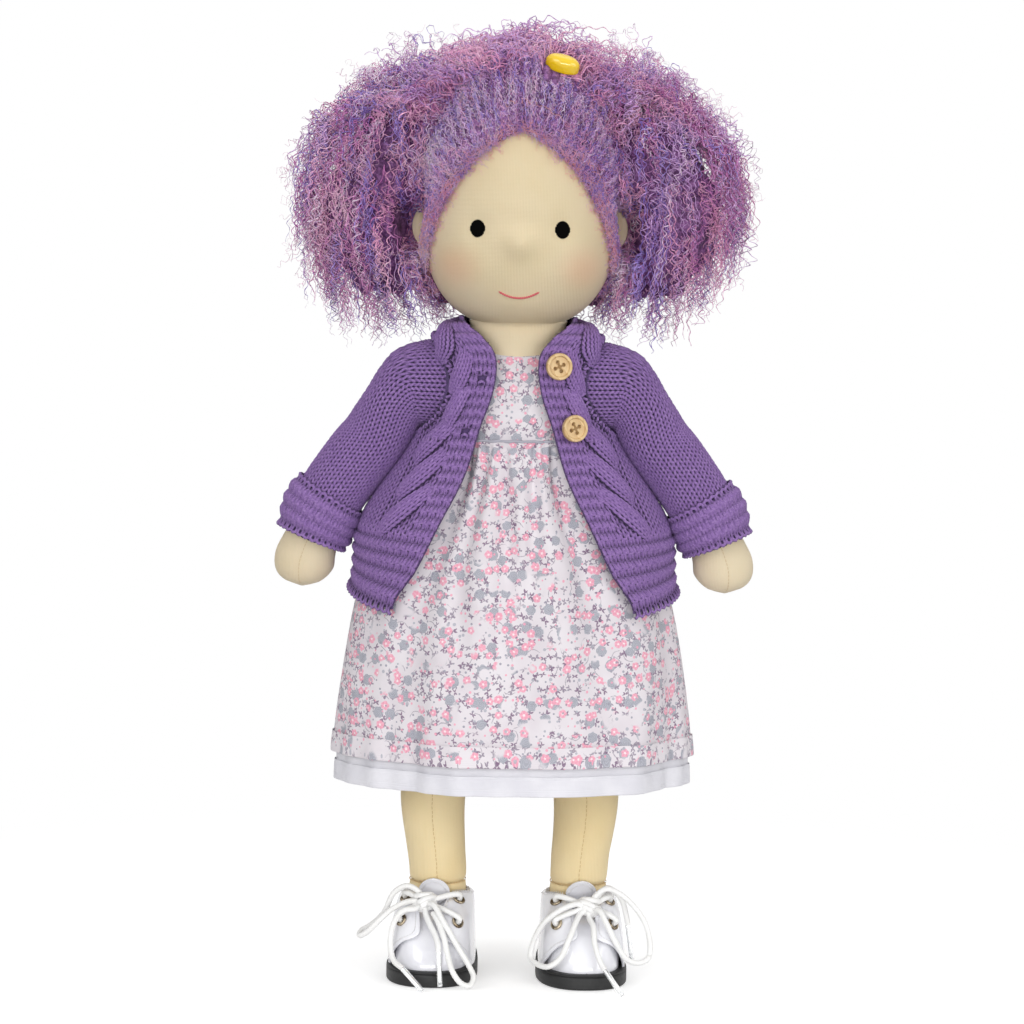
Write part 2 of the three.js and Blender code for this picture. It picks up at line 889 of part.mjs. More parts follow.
const hemHeight = collarHeight - cardiganLength;
const sideAngle = gap / (2 * hemHalfDepth);
const yokeRowShares = [1, 0.9, 0.8, 0.68, 0.5, 0.25, 0];
const backRowShares = [0.12, 0.3, 0.48, 0.66, 0.83, 1];
const backColumns = 14;
const frontColumns = 7;

function armholes() {
  const far = armReach + cutOverrun;
  return cylinderAlongX(armholeRadius, -far, far, shoulderHeight);
}

const cardiganHeights = [
  ...yokeRowShares.map((s) => mix(shoulderHeight, collarHeight, s)),
  ...backRowShares.map((s) => mix(shoulderHeight, hemHeight, s)),
];

function cardiganBack() {
  const angles = shares(backColumns).map((s) => mix(sideAngle, Math.PI - sideAngle, s));
  const shell = layeredRing(cardiganHeights, cardiganInside, 0, knitThickness, angles, false);
  return cut(shell, armholes());
}

// Half the opening between the two fronts at a height.
const collarOpening = collarHalfWidthInside + knitThickness;
const frontOpeningRows = [
  [0, frontTipSpread],
  [0.14, 0.81 * frontTipSpread],
  [0.3, 0.62 * frontTipSpread],
  [0.46, 0.43 * frontTipSpread],
  [0.63, 1.6 * frontNeckHalfGap],
  [0.76, 1.05 * frontNeckHalfGap],
  [0.88, frontNeckHalfGap],
  [0.95, 1.7 * frontNeckHalfGap],
  [1, 0.93 * collarOpening],
];
const frontOpeningAt = curveThrough(frontOpeningRows);

function frontEdgeAngle(height, size) {
  const share = (height - hemHeight + frontDip) / (cardiganLength + frontDip);
  return Math.acos(Math.min(0.97, frontOpeningAt(share) / size.halfWidth));
}

function cardiganFrontPoint(height, along, layer) {
  const base = grown(cardiganInside(height), knitThickness);
  const edge = frontEdgeAngle(height, base);
  const angle = mix(sideAngle, edge, along);
  const size = grown(cardiganInside(height), layer);
  return at(size.halfWidth * Math.cos(angle), -size.halfDepth * Math.sin(angle), height);
}

// The front's rows dip towards its lower corner.
function frontHeight(height, along) {
  const low = (collarHeight - height) / cardiganLength;
  return height - frontDip * along * low ** 4;
}

function cardiganFront() {
  const grid = (layer) =>
    cardiganHeights.map((height) =>
      shares(frontColumns).map((along) =>
        cardiganFrontPoint(frontHeight(height, along), along, layer),
      ),
    );
  return cut(wall(grid(knitThickness), grid(0), false), armholes());
}

const torso = new THREE.Group();
torso.add(piece("torso", torsoSolid(), jersey));
torso.add(piece("dress_bodice", bodice(), printedCotton));
torso.add(piece("dress_skirt", skirt(), printedCotton));
torso.add(piece("petticoat", petticoat(), whiteCotton));
torso.add(piece("cardigan_back", cardiganBack(), purpleWool));
torso.add(piece("cardigan_front_left", cardiganFront(), purpleWool));
const mirroredFront = piece("cardigan_front_right", cardiganFront(), purpleWool);
mirroredFront.scale.x = -1;
torso.add(mirroredFront);

// The buttons are sewn to the left front, beside its edge.
for (const [name, drop, lift] of [
  ["upper", upperButtonDrop, upperButtonSeat],
  ["lower", lowerButtonDrop, lowerButtonSeat],
]) {
  const height = collarHeight - drop;
  const size = grown(cardiganInside(height), knitThickness);
  const x = size.halfWidth * Math.cos(frontEdgeAngle(height, size)) + buttonInset;
  const onKnit = (across, z) => {
    const wide = grown(cardiganInside(z), knitThickness);
    return at(across, -wide.halfDepth * Math.sqrt(1 - (across / wide.halfWidth) ** 2), z);
  };
  const step = buttonDiameter / 2;
  const side = onKnit(x + step, height).sub(onKnit(x - step, height));
  const rise = onKnit(x, height + step).sub(onKnit(x, height - step));
  const facing = side.cross(rise).normalize();
  const seat = onKnit(x, height).addScaledVector(facing, lift);
  torso.add(place(piece("button_" + name, buttonSolid(), paleWood), seat, facing));
}
doll.add(torso);

// Limbs that swell and taper along a bent axis

// The arm leaves the body sideways at the shoulder and bends down.
const armStart = torsoAt(shoulderHeight).halfWidth + gap;
const armPathShares = [
  [0, 0],
  [0.085, 0],
  [0.2, 0.004],
  [0.33, 0.088],
  [0.45, 0.285],
  [0.58, 0.4],
  [0.71, 0.515],
  [0.83, 0.64],
  [0.92, 0.755],
  [0.985, 0.88],
  [1, 1],
];
const armPath = new THREE.CatmullRomCurve3(
  armPathShares.map(([out, down]) =>
    at(armStart + out * armReach, 0, shoulderHeight - down * armDrop),
  ),
);

// A ring square to the arm's axis, at a share of its length.
function armRing(share, halfWidth, halfDepth, angles) {
  const centre = armPath.getPointAt(share);
  const along = share === 0 ? at(1, 0, 0) : armPath.getTangentAt(share);
  const across = at(0, 1, 0).cross(along).normalize();
  return angles.map((a) =>
    centre
      .clone()
      .addScaledVector(across, halfWidth * Math.cos(a))
      .add(at(0, halfDepth * Math.sin(a), 0)),
  );
}

const armColumns = 12;
const armRows = [
  [0, upperArmRadius, upperArmRadius],
  [0.1, upperArmRadius, upperArmRadius],
  [0.25, upperArmRadius, upperArmRadius],
  [0.4, upperArmRadius, upperArmRadius],
  [0.6, mix(upperArmRadius, wristRadius, 0.6), mix(upperArmRadius, wristRadius, 0.6)],
  [0.76, wristRadius, wristRadius],
  [0.84, 0.93 * handHalfWidth, 0.95 * handHalfDepth],
  [0.9, handHalfWidth, handHalfDepth],
  [0.95, 0.86 * handHalfWidth, 0.86 * handHalfDepth],
  [0.985, 0.5 * handHalfWidth, 0.5 * handHalfDepth],
];

function armSolid() {
  const angles = turns(armColumns);
  const rings = armRows.map(([share, wide, deep]) => armRing(share, wide, deep, angles));
  return loft(rings, null, armPath.getPointAt(1));
}

const sleeveStartShare = 0.008;
const sleeveEndShare = 0.79;
const sleeveColumns = 14;
const sleeveRows = [
  [0, sleeveTopRadius],
  [0.12, sleeveTopRadius],
  [0.24, mix(sleeveRadius, sleeveTopRadius, 0.5)],
  [0.36, sleeveRadius],
  [0.52, sleeveRadius],
  [0.7, mix(sleeveWristRadius, sleeveRadius, 0.5)],
  [1, sleeveWristRadius],
];

function sleeve() {
  const angles = turns(sleeveColumns);
  const grid = (layer) =>
    sleeveRows.map(([row, radius]) => {
      const share = mix(sleeveStartShare, sleeveEndShare, row);
      return armRing(share, radius - layer, radius - layer, angles);
    });
  return wall(grid(0), grid(knitThickness), true);
}

const cuffRowShares = [0, 0.12, 0.88, 1];
const cuffSwellShares = [0.45, 1, 1, 0.45];
const sleeveRadiusAt = curveThrough(sleeveRows);

// The cuff is folded back over the end of the sleeve.
function cuff() {
  const angles = turns(sleeveColumns);
  const reach = cuffLength / armPath.getLength();
  const shareAt = (s) => mix(sleeveEndShare - reach, sleeveEndShare, s);
  const rowAt = (s) => (shareAt(s) - sleeveStartShare) / (sleeveEndShare - sleeveStartShare);
  const grid = (swell) =>
    cuffRowShares.map((s, i) => {
      const radius = sleeveRadiusAt(rowAt(s)) + 2 * gap + swell * cuffSwellShares[i];
      return armRing(shareAt(s), radius, radius, angles);
    });
  return wall(grid(cuffThickness), grid(0), true);
}

function armGroup(name) {
  const arm = new THREE.Group();
  arm.add(piece("arm_" + name, armSolid(), jersey));
  arm.add(piece("sleeve_" + name, sleeve(), purpleWool));
  arm.add(piece("cuff_" + name, cuff(), purpleWool));
  return arm;
}

const leftArm = armGroup("left");
const rightArm = armGroup("right");
rightArm.scale.x = -1;
doll.add(leftArm, rightArm);

// Legs: the thigh ends in a ball on the hip line, the ankle in a flat seam.
const legSpreadAt = curveThrough([
  [0, ankleSpread],
  [calfShare, calfSpread],
  [1, hipSpread],
]);
const legRadiusAt = curveThrough([
  [0, ankleRadius],
  [calfShare, calfRadius],
  [1, thighRadius],
]);
const legColumns = 16;
const legRowShares = [0, 0.12, 0.24, 0.36, 0.52, 0.68, 0.84, 1];
const ballRowShares = [0.33, 0.62, 0.84, 0.96];

function legSolid() {
  const angles = turns(legColumns);
  const rings = legRowShares.map((s) => {
    const centre = at(legSpreadAt(s), 0, ankleHeight + s * legLength);
    return ellipse(centre, legRadiusAt(s), legRadiusAt(s), angles);
  });
  const ball = ballRowShares.map((s) => {
    const radius = thighRadius * Math.sqrt(1 - s ** 2);
    return ellipse(at(hipSpread, 0, hipHeight + s * thighRadius), radius, radius, angles);
  });
  return loft([...rings, ...ball], null, at(hipSpread, 0, hipHeight + thighRadius));
}

// Shoes, in a frame of their own: the ankle over the origin, the toe towards -Y

const soleLength = soleFront + soleBack;
const soleMiddle = (soleBack - soleFront) / 2;

// The plan outline of the sole, drawn in by an inset; angle 0 is the toe.
function soleEdge(angle, inset) {
  const c = Math.cos(angle);
  const s = Math.sin(angle);
  const half = soleHalfWidth * (1 + soleBallShare * c) - inset;
  return new THREE.Vector2(
    half * Math.sign(s) * Math.abs(s) ** 0.86,
    soleMiddle - (soleLength / 2 - inset) * Math.sign(c) * Math.abs(c) ** 0.94,
  );
}

const ballShare = 0.42;
const heelTopAt = curveThrough([
  [ballShare, 0],
  [1, 1],
]);

// Where the upper meets the sole, by its distance along the shoe.
function soleTop(y) {
  const share = (y + soleFront) / soleLength;
  return mix(soleThickness, heelHeight, heelTopAt(share));
}

const collarHeightAt = curveThrough([
  [0, collarFront],
  [0.1, collarCorner],
  [0.25, collarSide],
  [0.5, collarBack],
]);

// The outer face of the shoe's lining form: angle 0 at the toe, t from the sole to the collar.
function lastPoint(angle, t) {
  const turn = Math.abs(angle) / (2 * Math.PI);
  const edge = soleEdge(angle, weltWidth + leather);
  const low = soleTop(edge.y) + gap;
  const high = collarHeightAt(Math.min(turn, 1 - turn));
  const inward = 1 - Math.cos((t * Math.PI) / 2);
  const rise = Math.sin((t * Math.PI) / 2) ** 1.15;
  return at(
    mix(edge.x, collarHalfWidth * Math.sin(angle), inward),
    mix(edge.y, -collarHalfDepth * Math.cos(angle), inward),
    mix(low, high, rise),
  );
}

function lastNormal(angle, t) {
  const step = 0.01;
  const round = lastPoint(angle + step, t).sub(lastPoint(angle - step, t));
  const high = Math.min(1, t + step);
  const low = Math.max(step / 2, high - 2 * step);
  const rise = lastPoint(angle, high).sub(lastPoint(angle, low));
  return round.cross(rise).normalize();
}

function shoePoint(angle, t, layer) {
  const point = lastPoint(angle, t).addScaledVector(lastNormal(angle, t), layer);
  const edge = soleEdge(angle, weltWidth);
  point.z = Math.max(point.z, soleTop(edge.y) + gap);
  return point;
}

function outsole() {
  const plan = new THREE.Shape(turns(36).map((a) => soleEdge(a, 0)));
  const top = heelHeight + cutOverrun;
  const block = new THREE.ExtrudeGeometry(plan, { depth: top, bevelEnabled: false });
  const breast = soleBack - heelLength;
  const ball = mix(-soleFront, soleBack, ballShare);
  const profile = new THREE.Shape();
  profile.moveTo(-soleFront - cutOverrun, 0);
  profile.lineTo(ball, 0);
  profile.quadraticCurveTo(mix(ball, breast, 0.5), 0, breast, archRise);
  profile.lineTo(breast, 0);
  profile.lineTo(soleBack + cutOverrun, 0);
  profile.lineTo(soleBack + cutOverrun, heelHeight);
  for (const s of shares(6)) {
    const y = mix(soleBack, ball, s);
    profile.lineTo(y, soleTop(y));
  }
  profile.lineTo(-soleFront - cutOverrun, soleThickness);
  const depth = 4 * soleHalfWidth;
  const side = new THREE.ExtrudeGeometry(profile, { depth, bevelEnabled: false });
  side.rotateX(Math.PI / 2);
  side.rotateZ(Math.PI / 2);
  side.translate(-depth / 2, 0, 0);
  return common(block, side);
}

// The derby line: how far the quarters' front edge lies from the toe, by height.
const facingAngleAt = curveThrough([
  [0, 1.12],
  [0.15, 0.9],
  [0.28, 0.6],
  [0.38, 0.3],
  [0.46, 0.2],
  [0.62, 0.27],
  [0.8, 0.42],
  [1, 0.6],
]);
const quarterColumns = 15;
const quarterRowShares = [0, 0.15, 0.28, 0.38, 0.48, 0.64, 0.82, 1];
const eyeletPlaces = [
  [0.64, 0.5],
  [0.74, 0.78],
];

function quarters() {
  const grid = (layer) =>
    quarterRowShares.map((t) =>
      shares(quarterColumns).map((s) => {
        const edge = facingAngleAt(t);
        return shoePoint(mix(edge, 2 * Math.PI - edge, s), t, layer);
      }),
    );
  const shell = wall(grid(quarterLayer + leather), grid(quarterLayer), false);
  const holes = eyeletPlaces.flatMap(([angle, t]) =>
    [angle, -angle].map((a) => {
      const hole = new THREE.CylinderGeometry(
        eyeletBore / 2 + eyeletWall + gap,
        eyeletBore / 2 + eyeletWall + gap,
        2 * cutOverrun,
        8,
      );
      hole.rotateX(Math.PI / 2);
      const placed = place(new THREE.Object3D(), shoePoint(a, t, 0), lastNormal(a, t));
      placed.updateMatrix();
      return hole.applyMatrix4(placed.matrix);
    }),
  );
  return cut(shell, ...holes);
}

const vampColumns = 12;
const vampRowShares = [0, 0.15, 0.28, 0.38, 0.48, 0.6];
const vampAngleAt = curveThrough([
  [0, 1.45],
  [0.6, 0.75],
]);

function vamp() {
  const grid = (layer) =>
    vampRowShares.map((t) =>
      shares(vampColumns).map((s) => {
        const edge = vampAngleAt(t);
        return shoePoint(mix(-edge, edge, s), t, layer);
      }),
    );
  return wall(grid(-gap), grid(-gap - leather), false);
}

const tongueColumns = 6;
const tongueRowShares = [0.64, 0.82, 1];
const tongueTipRows = [
  [0.35, 1],
  [0.7, 0.86],
  [1, 0.5],
];

function tongue() {
  const grid = (layer) => {
    const across = (spread) => shares(tongueColumns).map((s) => mix(-spread, spread, s));
    const laid = tongueRowShares.map((t) =>
      across(tongueHalfAngle).map((angle) => shoePoint(angle, t, layer)),
    );
    const standing = tongueTipRows.map(([rise, width]) =>
      across(tongueHalfAngle * width).map((angle) => {
        const foot = lastPoint(angle, 1);
        const out = at(Math.sin(angle), -Math.cos(angle), 0).multiplyScalar(layer);
        return foot.add(out).setZ(collarFront + rise * tongueRise);
      }),
    );
    return [...laid, ...standing];
  };
  return wall(grid(-gap), grid(-gap - leather), false);
}

function eyelet() {
  const bore = eyeletBore / 2;
  const rim = eyeletDiameter / 2;
  const barrel = bore + eyeletWall;
  const profile = [
    new THREE.Vector2(bore, -leather - gap),
    new THREE.Vector2(barrel, -leather - gap),
    new THREE.Vector2(barrel, gap),
    new THREE.Vector2(rim, gap),
    new THREE.Vector2(rim, gap + eyeletRimHeight / 2),
    new THREE.Vector2(mix(bore, rim, 0.6), gap + eyeletRimHeight),
    new THREE.Vector2(bore, gap + eyeletRimHeight / 2),
  ];
  const made = new THREE.LatheGeometry([...profile, profile[0]], 8);
  made.rotateX(Math.PI / 2);
  return made;
}

// The stuffed foot fills the shoe up to the ankle seam.
const footRowShares = [0.04, 0.25, 0.5, 0.75];
const footColumns = 18;
const footEase = 2.6;

function footSolid() {
  const inset = -(leather + 3 * gap);
  const rings = footRowShares.map((t) =>
    turns(footColumns).map((angle) => shoePoint(angle, t, inset)),
  );
  const ring = (halfWidth, halfDepth, height) =>
    turns(footColumns).map((a) => at(halfWidth * Math.sin(a), -halfDepth * Math.cos(a), height));
  const instepHeight = collarFront - 2 * leather;
  const instep = ring(collarHalfWidth - footEase, collarHalfDepth - footEase, instepHeight);
  const ankle = ring(ankleRadius, ankleRadius, ankleHeight - gap);
  return loft([...rings, instep, ankle]);
}

function shoeGroup(name) {
  const shoe = new THREE.Group();
  shoe.add(piece("outsole_" + name, outsole(), blackRubber));
  shoe.add(piece("vamp_" + name, vamp(), patentLeather));
  shoe.add(piece("quarters_" + name, quarters(), patentLeather));
  shoe.add(piece("tongue_" + name, tongue(), patentLeather));
  shoe.add(piece("foot_" + name, footSolid(), legJersey));
  eyeletPlaces.forEach(([angle, t], row) => {
    for (const [side, way] of [
      ["outer", 1],
      ["inner", -1],
    ]) {
      const title = ["eyelet", row ? "upper" : "lower", side, name].join("_");
      const facing = lastNormal(way * angle, t);
      const seat = shoePoint(way * angle, t, quarterLayer + leather);
      shoe.add(place(piece(title, eyelet(), antiqueMetal), seat, facing));
    }
  });
  shoe.position.x = ankleSpread;
  shoe.rotation.z = toeOut;
  return shoe;
}

function legGroup(name) {
  const leg = new THREE.Group();
  leg.add(piece("leg_" + name, legSolid(), legJersey));
  leg.add(shoeGroup(name));
  return leg;
}

const leftLeg = legGroup("left");
const rightLeg = legGroup("right");
rightLeg.scale.x = -1;
doll.add(leftLeg, rightLeg);

// Laces

const laceSides = 8;
const strandSteps = 4;
const loopSteps = 11;
const endSteps = 6;
const strandRiseShares = [
  [0.04, 1],
  [0.3, 0.8],
];

const pointOf = ([x, y, z]) => at(x, y, z);

// A place or a direction of the shoe's own frame, turned out with the toe and put on its side.
function turnedOut(vector, side) {
  const turned = vector.clone().applyAxisAngle(at(0, 0, 1), toeOut);
  turned.x *= side;
  return turned;
}

// The knot, with the strands that reach it from the eyelets.
function lacing(route, side) {
  const knot = pointOf(route.knot);
  const strands = eyeletPlaces.flatMap(([angle, t]) =>
    [angle, -angle].map((a) => {
      const seat = turnedOut(shoePoint(a, t, quarterLayer + leather), side);
      seat.x += side * ankleSpread;
      const up = turnedOut(lastNormal(a, t), side);
      const points = [
        seat.clone().addScaledVector(up, eyeletRimHeight + 2.5 * gap),
        ...strandRiseShares.map(([out, rise]) =>
          seat.clone().lerp(knot, out).addScaledVector(up, rise * laceLift),
        ),
        knot,
      ];
      return cordAlong(points, laceDiameter, strandSteps, laceSides);
    }),
  );
  const half = at(knotHalfWidth, knotHalfDepth, knotHalfHeight);
  return join(ellipsoid(knot, half, 12, 8), ...strands);
}

// A clear tip pressed on the end of a lace, a little clear of it.
function aglet(rows, tipRow) {
  const end = pointOf(rows[rows.length - 1]);
  const along = pointOf(tipRow).sub(end).normalize();
  const made = new THREE.CylinderGeometry(agletDiameter / 2, agletDiameter / 2, agletLength, 10);
  made.rotateX(Math.PI / 2);
  const middle = end.addScaledVector(along, gap + agletLength / 2);
  const placed = place(new THREE.Object3D(), middle, along);
  placed.updateMatrix();
  return made.applyMatrix4(placed.matrix);
}

for (const [name, route, side] of [
  ["left", leftLace, 1],
  ["right", rightLace, -1],
]) {
  doll.add(piece("lacing_" + name, lacing(route, side), laceCotton));
  for (const way of ["inner", "outer"]) {
    const loop = cordAlong(route["loop_" + way].map(pointOf), laceDiameter, loopSteps, laceSides);
    doll.add(piece(["lace_loop", way, name].join("_"), loop, laceCotton));
  }
  for (const way of ["front", "outer"]) {
    const rows = route["end_" + way];
    const end = cordAlong(rows.map(pointOf), laceDiameter, endSteps, laceSides);
    doll.add(piece(["lace_end", way, name].join("_"), end, laceCotton));
    doll.add(piece(["aglet", way, name].join("_"), aglet(rows, route["tip_" + way]), clearPlastic));
  }
}

export default doll;
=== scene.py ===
# A standing cloth doll with curly mohair bunches, a knitted cardigan, a print dress and laced shoes.
# Sizes are in millimetres and are turned into metres when a mesh is made.
import math

import bmesh
import bpy
import numpy as np
from mathutils import Matrix, Vector


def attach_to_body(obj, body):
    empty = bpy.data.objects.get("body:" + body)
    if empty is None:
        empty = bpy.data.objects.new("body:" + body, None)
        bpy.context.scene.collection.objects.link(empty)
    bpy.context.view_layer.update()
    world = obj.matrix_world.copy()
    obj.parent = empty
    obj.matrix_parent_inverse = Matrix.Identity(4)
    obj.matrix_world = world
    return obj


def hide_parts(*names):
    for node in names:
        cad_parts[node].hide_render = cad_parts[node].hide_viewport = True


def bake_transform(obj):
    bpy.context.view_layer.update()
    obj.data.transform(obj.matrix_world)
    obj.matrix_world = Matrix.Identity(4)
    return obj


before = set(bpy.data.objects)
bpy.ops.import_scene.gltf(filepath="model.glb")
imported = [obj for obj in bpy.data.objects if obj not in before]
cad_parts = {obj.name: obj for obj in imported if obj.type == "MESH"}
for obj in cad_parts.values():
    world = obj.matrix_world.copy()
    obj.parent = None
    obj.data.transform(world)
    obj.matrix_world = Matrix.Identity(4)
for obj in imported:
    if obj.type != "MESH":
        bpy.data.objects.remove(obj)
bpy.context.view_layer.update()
MM = 0.001
SIDES = (("left", 1), ("right", -1))

# ---- arrays and curves


def mix(a, b, t):
    return a + (b - a) * t


def smooth(low, high, x):
    t = np.clip((np.asarray(x, float) - low) / (high - low), 0, 1)
    return t * t * (3 - 2 * t)


def unit(v):
    return v / np.maximum(np.linalg.norm(v, axis=-1, keepdims=True), 1e-9)


def turns(count):
    """count angles at even spacing round a whole turn, the first of them 0."""
    return np.arange(count) / count * 2 * math.pi


def xyz(x, y, z):
    """Points from coordinates of any shapes that go together."""
    return np.stack(np.broadcast_arrays(x, y, z), -1)


def run_along(path):
    """How far along a path each of its points lies."""
    return np.concatenate([[0], np.cumsum(np.linalg.norm(np.diff(path, axis=0), axis=1))])


def looked_up(where, at, values):
    """Rows of values, which belong to the places at, read off at other places."""
    return np.stack([np.interp(where, at, values[:, c]) for c in range(values.shape[1])], -1)


def bell(x):
    return np.exp(-x ** 2)


def curve_through(rows):
    """A smooth curve through rows of (place, value), level at both ends."""
    x = np.array([r[0] for r in rows], float)
    y = np.array([r[1] for r in rows], float)
    slope = np.zeros(len(x))
    slope[1:-1] = (y[2:] - y[:-2]) / (x[2:] - x[:-2])

    def at(place):
        p = np.clip(np.asarray(place, float), x[0], x[-1])
        i = np.clip(np.searchsorted(x, p, "right") - 1, 0, len(x) - 2)
        w = x[i + 1] - x[i]
        t = (p - x[i]) / w
        value = mix(y[i], y[i + 1], t * t * (3 - 2 * t))
        return value + t * (1 - t) ** 2 * slope[i] * w - t * t * (1 - t) * slope[i + 1] * w

    return at


def spline(points, count):
    """count points at even spacing along a centripetal curve through the given ones."""
    p = np.asarray(points, float)
    p = np.vstack([2 * p[0] - p[1], p, 2 * p[-1] - p[-2]])
    out = []
    for i in range(1, len(p) - 2):
        k = [0.0]
        for j in range(i - 1, i + 2):
            k.append(k[-1] + np.linalg.norm(p[j + 1] - p[j]) ** 0.5)
        t = np.linspace(k[1], k[2], 24, endpoint=i == len(p) - 3)[:, None]

        def between(low, high, a, b):
            return (k[high] - t) / (k[high] - k[low]) * a + (t - k[low]) / (k[high] - k[low]) * b

        a = [between(j, j + 1, p[i - 1 + j], p[i + j]) for j in range(3)]
        b = [between(j, j + 2, a[j], a[j + 1]) for j in range(2)]
        out.append(between(1, 2, b[0], b[1]))
    dense = np.vstack(out)
    run = run_along(dense)
    return looked_up(np.linspace(0, run[-1], count), run, dense)


def rework(mesh, change):
    """Writes a mesh back after change has worked on it in bmesh."""
    work = bmesh.new()
    work.from_mesh(mesh)
    change(work)
    work.to_mesh(mesh)
    work.free()


def face_out(work):
    bmesh.ops.recalc_face_normals(work, faces=work.faces)


def weld(work, distance):
    bmesh.ops.remove_doubles(work, verts=work.verts, dist=distance * MM)
    face_out(work)


def link(name, data):
    obj = bpy.data.objects.new(name, data)
    bpy.context.scene.collection.objects.link(obj)
    return obj


def grid_normals(p, wrap):
    """Unit normals of a grid of points, rows x columns x 3."""
    if wrap:
        across = np.roll(p, -1, 1) - np.roll(p, 1, 1)
    else:
        across = np.gradient(p, axis=1)
    return unit(np.cross(across, np.gradient(p, axis=0)))


# ---- meshes


def add_mesh(name, verts, faces, material, smooth_shade=True):
    """A mesh object from points in millimetres; faces is an array, or a list of arrays of one face size each."""
    if isinstance(faces, np.ndarray):
        faces = [faces]
    faces = [np.asarray(f, np.int32) for f in faces if len(f)]
    mesh = bpy.data.meshes.new(name)
    verts = np.asarray(verts, np.float32) * MM
    mesh.vertices.add(len(verts))
    mesh.vertices.foreach_set("co", verts.ravel())
    loops = np.concatenate([f.ravel() for f in faces])
    sizes = np.concatenate([np.full(len(f), f.shape[1]) for f in faces])
    mesh.loops.add(len(loops))
    mesh.loops.foreach_set("vertex_index", loops)
    mesh.polygons.add(len(sizes))
    mesh.polygons.foreach_set("loop_start", np.concatenate([[0], np.cumsum(sizes)[:-1]]).astype(np.int32))
    mesh.update(calc_edges=True)
    mesh.validate()
    if smooth_shade:
        mesh.polygons.foreach_set("use_smooth", np.ones(len(mesh.polygons), bool))
    mesh.materials.append(material)
    return link(name, mesh)


def grid_faces(rows, columns, wrap, start=0):
    i = np.arange(rows - 1)[:, None]
    j = np.arange(columns if wrap else columns - 1)[None, :]
    k = (j + 1) % columns
    f = np.stack([i * columns + j, i * columns + k, (i + 1) * columns + k, (i + 1) * columns + j], -1)
    return f.reshape(-1, 4) + start


def closed_skin(name, rings, material, first=None, last=None):
    """A closed form skinned over rings, with a point at each end."""
    rings = np.asarray(rings, float)
    rows, columns = rings.shape[:2]
    ends = [rings[0].mean(0) if first is None else first, rings[-1].mean(0) if last is None else last]
    verts = np.vstack([rings.reshape(-1, 3), ends])
    j = np.arange(columns)
    k = (j + 1) % columns
    n = rows * columns
    tris = np.vstack([
        np.stack([np.full(columns, n), k, j], 1),
        np.stack([n - columns + j, n - columns + k, np.full(columns, n + 1)], 1),
    ])
    obj = add_mesh(name, verts, [grid_faces(rows, columns, True), tris], material)
    rework(obj.data, face_out)
    return obj


def shell(name, p, thickness, material, wrap=False, roll=3):
    """A closed sheet of one thickness round a grid of points, its edges rounded in roll steps."""
    p = np.asarray(p, float)
    n = grid_normals(p, wrap)
    t = np.full(p.shape[:2], thickness, float)
    steps = np.linspace(0, math.pi / 2, roll + 1)[1:]
    for axis in (0,) if wrap else (0, 1):
        for edge, near in ((0, 1), (-1, -2)):
            take = lambda a, i: np.take(a, [i], axis)
            out = unit(take(p, edge) - take(p, near))
            half = take(t, edge) / 2
            added = ([take(p, edge) + out * (half * math.sin(a))[..., None] for a in steps],
                     [take(t, edge) * max(math.cos(a), 0) for a in steps], [take(n, edge)] * len(steps))
            p, t, n = (np.concatenate(more[::-1] + [a] if edge == 0 else [a] + more, axis)
                       for a, more in zip((p, t, n), added))
    rows, columns = p.shape[:2]
    outer = (p + n * (t / 2)[..., None]).reshape(-1, 3)
    inner = (p - n * (t / 2)[..., None]).reshape(-1, 3)
    f = grid_faces(rows, columns, wrap)
    obj = add_mesh(name, np.vstack([outer, inner]), np.vstack([f, f[:, ::-1] + len(outer)]), material)
    set_uv(obj, np.zeros((len(outer) * 2, 2)))
    rework(obj.data, lambda work: weld(work, 0.004))
    return obj


def set_uv(obj, per_vertex):
    """UVs in millimetres of cloth, given for each vertex."""
    layer = obj.data.uv_layers.new(name="UVMap")
    index = np.zeros(len(obj.data.loops), np.int32)
    obj.data.loops.foreach_get("vertex_index", index)
    layer.data.foreach_set("uv", np.asarray(per_vertex, np.float32)[index].ravel())


def tubes(paths, radius, sides, ref=None):
    """Vertices and faces of closed tubes along paths, strands x points x 3; ref steers the section's turn."""
    paths = np.asarray(paths, float)
    s, n = paths.shape[:2]
    along = unit(np.gradient(paths, axis=1))
    if ref is None:
        ref = np.broadcast_to(np.array([0.31, 0.27, 0.91]), paths.shape)
    side = unit(np.cross(along, ref))
    up = np.cross(side, along)
    radius = np.broadcast_to(np.asarray(radius, float), (s, n))
    turn = turns(sides)
    ring = side[:, :, None] * np.cos(turn)[:, None] + up[:, :, None] * np.sin(turn)[:, None]
    verts = (paths[:, :, None] + ring * radius[:, :, None, None]).reshape(-1, 3)
    start = (np.arange(s) * n * sides)[:, None, None]
    quads = (grid_faces(n, sides, True)[None] + start).reshape(-1, 4)
    ends = np.stack([np.arange(sides)[::-1], (n - 1) * sides + np.arange(sides)])
    return verts, quads, (ends[None] + start).reshape(-1, sides)


def tube_object(name, paths, radius, sides, material):
    verts, quads, caps = tubes(paths, radius, sides)
    return add_mesh(name, verts, [quads, caps], material)


def join_meshes(name, objs):
    """One object out of several of the same material; they haven't been moved."""
    work = bmesh.new()
    for o in objs:
        work.from_mesh(o.data)
    kept = objs[0]
    work.to_mesh(kept.data)
    work.free()
    kept.name = name
    for o in objs[1:]:
        bpy.data.objects.remove(o)
    return kept


def attach(obj, body, slot, *nodes):
    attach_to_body(obj, body)
    if nodes:
        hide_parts(*nodes)
    return obj


# ---- camera, floor and lamps


